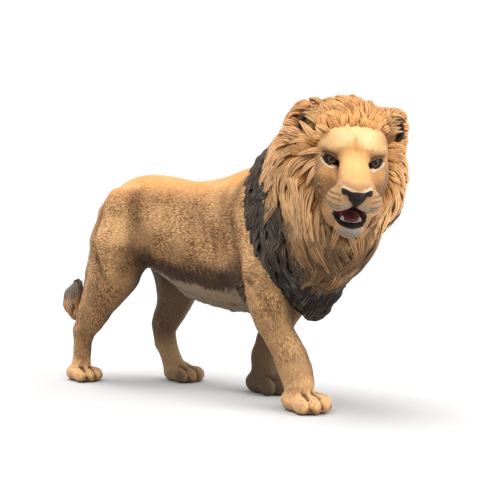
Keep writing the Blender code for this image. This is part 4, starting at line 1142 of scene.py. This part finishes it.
def spread(points, quads, gap, keep):
    """Roots about a gap apart: grid cells of that size take one shuffled face centre each."""
    centres = points[quads].mean(1)
    centres = centres[keep(centres)]
    centres = centres[rng.permutation(len(centres))]
    taken, out = {}, []
    for c in centres:
        cell = tuple(np.floor(c / gap).astype(int))
        near = [taken[k] for k in itertools.product(*((i - 1, i, i + 1) for i in cell)) if k in taken]
        if all(((c - other) ** 2).sum() > gap * gap for other in near):
            taken[cell] = c
            out.append(c)
    return np.array(out)


def bake_map(obj, faces_per_lock, roots, unwrap):
    """OFBake map: each lock is a patch 0.003 across at its root's place on an unwrap of the skin."""
    uv = unwrap(roots)
    layer = obj.data.uv_layers.new(name="OFBake")
    corners = np.array([(0, 0), (1, 0), (1, 1), (0, 1)]) * 0.003
    spots = np.repeat(uv, faces_per_lock, axis=0)[:, None, :] + corners[None]
    layer.data.foreach_set("uv", spots.reshape(-1).astype(np.float32))


def mane_unwrap(p):
    """Turn about the head's axis and distance back along it, both 0 to 1."""
    q = HEAD.into(p)
    u = (np.arctan2(q[:, 1], q[:, 2] + 2.0) / (2 * math.pi) + 0.5) * 0.98 + 0.005
    v = np.clip((-q[:, 0] + 2 + 0.25 * np.hypot(q[:, 1], q[:, 2] + 2)) / 50, 0, 1) * 0.98 + 0.005
    return np.stack([u, v], 1)


def locks(name, field, flow, roots, look, slot, nodes=(), lift=0.45, unwrap=mane_unwrap, stations=15):
    """One piece of many locks.

    `look(roots)` gives each lock's length, width, thickness, curl, colour and groove colour.
    """
    lengths, widths, thicks, curls, paint, shade = look(roots)
    lifts = lift + 0.3 * rng.random(len(roots)) + 0.4 * rng.random(len(roots)) ** 4
    path, normals, tangents = trace(field, flow, roots, lengths, lifts, curls, stations)
    pts, faces, ridge, at = lock_grid(path, normals, tangents, widths, thicks, lengths)
    paint, shade = (np.repeat(colours, stations * len(ACROSS), axis=0) for colours in (paint, shade))
    shown = {"ridge": ridge, "at_lock": at, "paint": paint, "shade": shade}
    obj = new_piece(name, pts, faces, nodes, slot, LOCK_PAINT, **shown)
    bake_map(obj, (stations - 1) * len(ACROSS), roots, unwrap)


LOCK_PAINT = lock_material("painted_locks")
PIECE_TRIANGLES = 190000  # most in one piece of locks


def ear_distance(q):
    """Distance in the head frame from the nearer ear's axis, seen from in front."""
    return np.hypot(np.abs(q[..., 1]) - 8.9, q[..., 2] - 6.2)


def mane_look(roots):
    """Sizes and colours of mane locks from where they grow."""
    q = HEAD.into(roots)
    count = len(roots)
    vary = rng.random((count, 5))
    low = soft(q[:, 2], 2, -10)
    crown = soft(q[:, 2], 5, 10)
    cape = cape_weight(roots)
    lengths = 8.0 + 5.0 * low * (1 - cape) - 1.5 * crown + 0.5 * cape + 3.0 * (vary[:, 0] - 0.5)
    inner = (np.abs(q[:, 1]) < 8.0) & (q[:, 2] > 3.5) & (q[:, 0] > -10)
    lengths = np.where(inner, np.minimum(lengths, np.maximum(ear_distance(q) - 1.0, 2.8)), lengths)
    widths = 1.75 + 1.2 * (vary[:, 1] - 0.5) - 0.2 * crown
    thicks = 0.95 + 0.5 * (vary[:, 2] - 0.5) + 0.25 * cape
    curls = 0.85 * ripple(roots, 11.0, 22) + (0.35 + 0.8 * cape) * (vary[:, 3] - 0.5)
    pale = (1 - 0.7 * soft(q[:, 2], -6, -16)) * soft(ripple(roots, 6.0, 23) + vary[:, 4], 0.6, 1.6)
    # Darker low in the mane: painted shade under the head. Lighter on its outer sides: painted highlight.
    mane_side_highlight = soft(np.abs(q[:, 1]), 7, 10) * soft(q[:, 2], -14, -9) * soft(q[:, 2], 4, 0)
    paint = layered("c9986a", (
        (soft(q[:, 2], -8, 7), "eab27c"),
        (soft(q[:, 2] + 2.0 * vary[:, 3], -3, -16), "58402a"),
        (0.75 * crown, "b98149"),
        (0.75 * pale, "ecb477"),
        (0.6 * soft(ripple(roots, 7.0, 24) + vary[:, 0], 0.9, 1.7), "80572f"),
        (0.28 * mane_side_highlight, "e8bf8c"),
        (cape, "463b33"),
        (0.5 * cape * soft(vary[:, 4], 0.7, 1.0) * soft(roots[:, 2], 34, 42), "66594e"),
        (0.85 * cape * soft(roots[:, 2], 42, 32), "1e1814"),
    ))
    shade = layered("744a26", ((soft(q[:, 2], 0, -16), "35220f"), (0.7 * crown, "9c6432"), (cape, "0f0c0a")))
    lengths = lengths + (0.5 + 4.5 * vary[:, 2]) * cape * soft(roots[:, 2], 34, 27)
    return lengths, widths, thicks, curls, paint, shade


mane = mane_clay(0.4)
mane_points, mane_quads = mane.mesh()


def clear_of_flesh(p):
    """Roots outside the head and body, or only just under their surface."""
    q = HEAD.into(p)
    over_ear = (ear_distance(q) < 2.7) & (q[:, 0] > -8.5)
    return (skull.sample(p) > -0.6) & (body.sample(p) > -0.8) & ~over_ear


under_cape = cape_weight(mane_points - 1.6 * HEAD.a[:, 0])
under_paint = layered("8a5c34", ((under_cape, "1c1613"),))
new_piece(
    "mane_under", mane_points, mane_quads, ["mane_ruff", "mane_cape"], "mane_gold", LOCK_PAINT,
    paint=under_paint,
    shade=under_paint * 0.5,
    ridge=np.full(len(mane_points), 0.5),
    at_lock=mane_points * (3.0, 3.0, 0.5),
)

mane_roots = spread(mane_points, mane_quads, 1.45, clear_of_flesh)
is_cape = cape_weight(mane_roots) > 0.5
for label, chosen, slot in (("ruff", ~is_cape, "mane_gold"), ("cape", is_cape, "mane_dark")):
    group = mane_roots[chosen]
    group = group[np.argsort(HEAD.into(group)[:, 1], kind="stable")]
    parts = math.ceil(len(group) * len(ACROSS) * 14 * 2 / PIECE_TRIANGLES)
    for number, part in enumerate(np.array_split(group, parts)):
        locks(f"mane_locks_{label}_{number + 1}", mane, mane_flow, part, mane_look, slot)

# Short hair where the face meets the mane, lying on the skull.


def hairline_look(roots):
    """Sizes and colours of the short hair round the face."""
    q = HEAD.into(roots)
    vary = rng.random((len(roots), 4))
    paint = layered("b98450", (
        (soft(q[:, 2], 0, 7), "d89b5c"),
        (0.8 * soft(vary[:, 3], 0.55, 0.95), "e6b074"),
        # Darker under the jaw: painted shade.
        (soft(q[:, 2], -5, -12), "7d5c3b"),
    ))
    shade = layered("8a5a30", ((soft(q[:, 2], -4, -12), "4c341e"),))
    sizes = np.array((3.8, 0.8, 0.5)) + vary[:, :3] * (3.4, 0.5, 0.25)
    return *sizes.T, vary[:, 3] - 0.5, paint, shade


def hairline(p):
    """Places on the skull just outside the face's edge, close to the mane."""
    q = HEAD.into(p)
    depth = mane.sample(p)
    edge = np.interp(q[:, 2], [-18, -13, -8, 0, 5], [2.0, 3.0, -1.5, -2.5, 1.0])
    reach = 1.5 + 0.9 * soft(q[:, 2], 4.5, 7.5) * soft(np.abs(q[:, 1]), 6, 3)
    face = (q[:, 0] > -9) & (q[:, 0] < edge + 2 * (reach - 1.5)) & (q[:, 2] > -18)
    return (depth < reach) & (depth > -1.8) & face & (ear_distance(q) > 2.9)


hair_roots = spread(head_points, head_quads, 0.8, hairline)
hair_bed = Both(skull, mane, 1.5)
locks("face_hairline", hair_bed, mane_flow, hair_roots, hairline_look, "mane_gold", lift=0.25, stations=8)

# Pale tufts growing from each ear's inner edge out over its cup.


def ear_flow(p):
    """Out, up and a little forward from the head's middle."""
    side = np.sign(HEAD.into(p)[..., 1])[..., None]
    return np.array((0.2, 0.0, 0.55)) @ HEAD.a.T + side * HEAD.a[:, 1]


def ear_look(roots):
    """Sizes and colours of ear tufts."""
    count = len(roots)
    vary = rng.random((count, 3))
    paint = layered("a9794a", ((vary[:, 0], "dbae78"),))
    shade = np.tile(linear("4a3020"), (count, 1))
    sizes = np.array((3.6, 0.9, 0.5)) + vary * (2.0, 0.4, 0.2)
    return *sizes.T, 0.9 * (vary[:, 2] - 0.5), paint, shade


ear_roots = HEAD.out([
    (-5.0 + ahead, (6.0 + 0.1 * abs(height - 6)) * s, height)
    for s in (-1, 1)
    for height in np.linspace(4.4, 9.0, 9)
    for ahead in (-0.6, 0.3)
])
ear_field = Clay(HEAD.out((-6, 0, 6)) - 16, HEAD.out((-6, 0, 6)) + 16, TUFT_STEP)
for s in (-1, 1):
    ear_field.add(ball((-6.0, 8.8 * s, 6.2), (1.6, 3.3, 3.6), yaw=-24 * s, roll=-22 * s, place=HEAD))
locks("ear_tufts", ear_field, ear_flow, ear_roots, ear_look, "mane_gold", lift=0.3, stations=9)

# Tuft of the tail.
TUFT = (
    (-44.2, -6.7, 18.8, 1.4), (-45.8, -6.9, 18.6, 1.7), (-46.4, -7.1, 21, 2.3), (-45.9, -7.2, 24, 2.0),
    (-44.6, -7.2, 27, 0.8),
)
tuft = Clay((-54, -14, 10), (-36, 0, 34), TUFT_STEP).add(limb(TUFT, own=0.8))
tuft_points, tuft_quads = tuft.mesh()


def tuft_flow(p):
    """Up the curled tuft, leaning a little forward."""
    return np.broadcast_to((0.12, 0.0, 1.0), p.shape)


def tuft_look(roots):
    """Sizes and colours of tuft locks: tan below, grey-brown above."""
    count = len(roots)
    vary = rng.random((count, 2))
    high = soft(roots[:, 2], 18.5, 21.5)
    paint, shade = layered("b48a62", ((high, "7d6f64"),)), layered("6a4f38", ((high, "443a33"),))
    sizes = np.array((5.2, 1.3)) + vary * (1.6, 0.4)
    return *sizes.T, np.full(count, 0.7), 0.6 * (vary[:, 1] - 0.5), paint, shade


def tuft_unwrap(p):
    """Height and turn round the tuft, in a corner of the map."""
    u = (np.arctan2(p[:, 1] + 7.0, p[:, 0] + 46.0) / (2 * math.pi) + 0.5) * 0.9 + 0.02
    return np.stack([u, np.clip((p[:, 2] - 14) / 18, 0, 1) * 0.9 + 0.02], 1)


tuft_roots = spread(tuft_points, tuft_quads, 1.15, lambda p: p[:, 2] < 24.5)
tuft_map = {"unwrap": tuft_unwrap, "stations": 9}
locks("tail_tuft_locks", tuft, tuft_flow, tuft_roots, tuft_look, "tuft", ["tail_tuft"], 0.1, **tuft_map)

# Ragged hair along the belly's lower edge and behind the elbows.


def fringe_flow(p):
    """Down and a little back, spreading out from the middle."""
    return np.array((-0.55, 0.0, -0.8)) + np.sign(p[..., 1:2]) * (0.0, 0.15, 0.0)


def fringe_look(roots):
    """Sizes and colours of belly hair: pale under the belly, dark at the elbows."""
    vary = rng.random((len(roots), 3))
    paint = layered(linear(BELLY) * 0.9, ((soft(np.abs(roots[:, 1]), 8.0, 10.0), DARK),))
    sizes = np.array((1.6, 1.7, 0.3)) + vary * (1.2, 0.7, 0.2)
    return *sizes.T, 0.5 * (vary[:, 2] - 0.5), paint, paint * 0.75


def fringe_place(p):
    """Belly keel from mid trunk to the chest, and a patch behind each elbow."""
    x, y, z = p.T
    keel = (np.abs(y) < 7.0) & (z < 28) & (x > -6) & (x < 18)
    elbow = (np.abs(np.abs(y) - 11.6) < 2.6) & (np.abs(z - 30.5) < 3.2) & (np.abs(x - 17.8 + 0.1 * y) < 2.4)
    return (keel | elbow) & (z > 20)


def fringe_unwrap(p):
    """Length along the trunk and side to side."""
    return np.stack([(p[:, 0] + 10) / 40 * 0.9 + 0.02, (p[:, 1] + 16) / 32 * 0.9 + 0.02], 1)


fringe_roots = spread(body_points, body_quads, 1.3, fringe_place)
locks("belly_fringe", body, fringe_flow, fringe_roots, fringe_look, "hide", (), 0.05, fringe_unwrap, 8)

# ---------------------------------------------------------------- studio

bpy.context.scene.view_settings.view_transform = "Standard"

THETA = math.radians(37)
ahead = np.array((-math.sin(THETA), math.cos(THETA), 0.0))
right = np.array((math.cos(THETA), math.sin(THETA), 0.0))
camera = bpy.data.cameras.new("camera")
camera.sensor_width = 36
camera.lens = 75.6
camera.shift_y = -0.084
camera.clip_start = 0.01
view = bpy.data.objects.new("camera", camera)
spot_at = placed((176.8, -218.6, 49.0))
view.matrix_world = Matrix(
    (
        (right[0], 0, -ahead[0], spot_at[0]),
        (right[1], 0, -ahead[1], spot_at[1]),
        (0, 1, 0, spot_at[2]),
        (0, 0, 0, 1),
    )
)
bpy.context.scene.collection.objects.link(view)
bpy.context.scene.camera = view

floor_mesh = bpy.data.meshes.new("floor")
floor_mesh.from_pydata([(-9, -9, 0), (9, -9, 0), (9, 9, 0), (-9, 9, 0)], [], [(0, 1, 2, 3)])
floor = bpy.data.objects.new("floor", floor_mesh)
bpy.context.scene.collection.objects.link(floor)
# Matt painted board: pale and without glare.
floor_paint, floor_base, floor_node = shader("studio_floor", 0.7, specular=0.0)
floor_node(floor_base, {"Base Color": np.full(3, 0.56)})
floor_mesh.materials.append(floor_paint)


def lamp(name, at, aim, size, power, colour=(1.0, 1.0, 1.0)):
    """Square area light in metres and watts, aimed at a point."""
    data = bpy.data.lights.new(name, "AREA")
    data.size = size
    data.energy = power
    data.color = colour
    obj = bpy.data.objects.new(name, data)
    away = np.array(at, float) - np.array(aim, float)
    away /= np.linalg.norm(away)
    side = np.cross((0, 0, 1), away) if abs(away[2]) < 0.99 else np.array((1.0, 0, 0))
    side /= np.linalg.norm(side)
    up = np.cross(away, side)
    rows = [(side[i], up[i], away[i], at[i]) for i in range(3)]
    obj.matrix_world = Matrix((*rows, (0, 0, 0, 1)))
    bpy.context.scene.collection.objects.link(obj)


sky = bpy.data.lights.new("overhead", "SUN")
sky.energy = 2.7
sky.angle = math.radians(45)
overhead = bpy.data.objects.new("overhead", sky)
overhead.rotation_euler = (math.radians(9), math.radians(-12), 0)
bpy.context.scene.collection.objects.link(overhead)
lamp("side", (0.42, 0.06, 0.26), (0.03, -0.01, 0.05), 0.3, 1.5, (1.0, 0.98, 0.95))
world = bpy.data.worlds.new("studio")
world.use_nodes = True
world.node_tree.nodes["Background"].inputs["Color"].default_value = (1.0, 1.0, 1.0, 1.0)
world.node_tree.nodes["Background"].inputs["Strength"].default_value = 1.0
bpy.context.scene.world = world
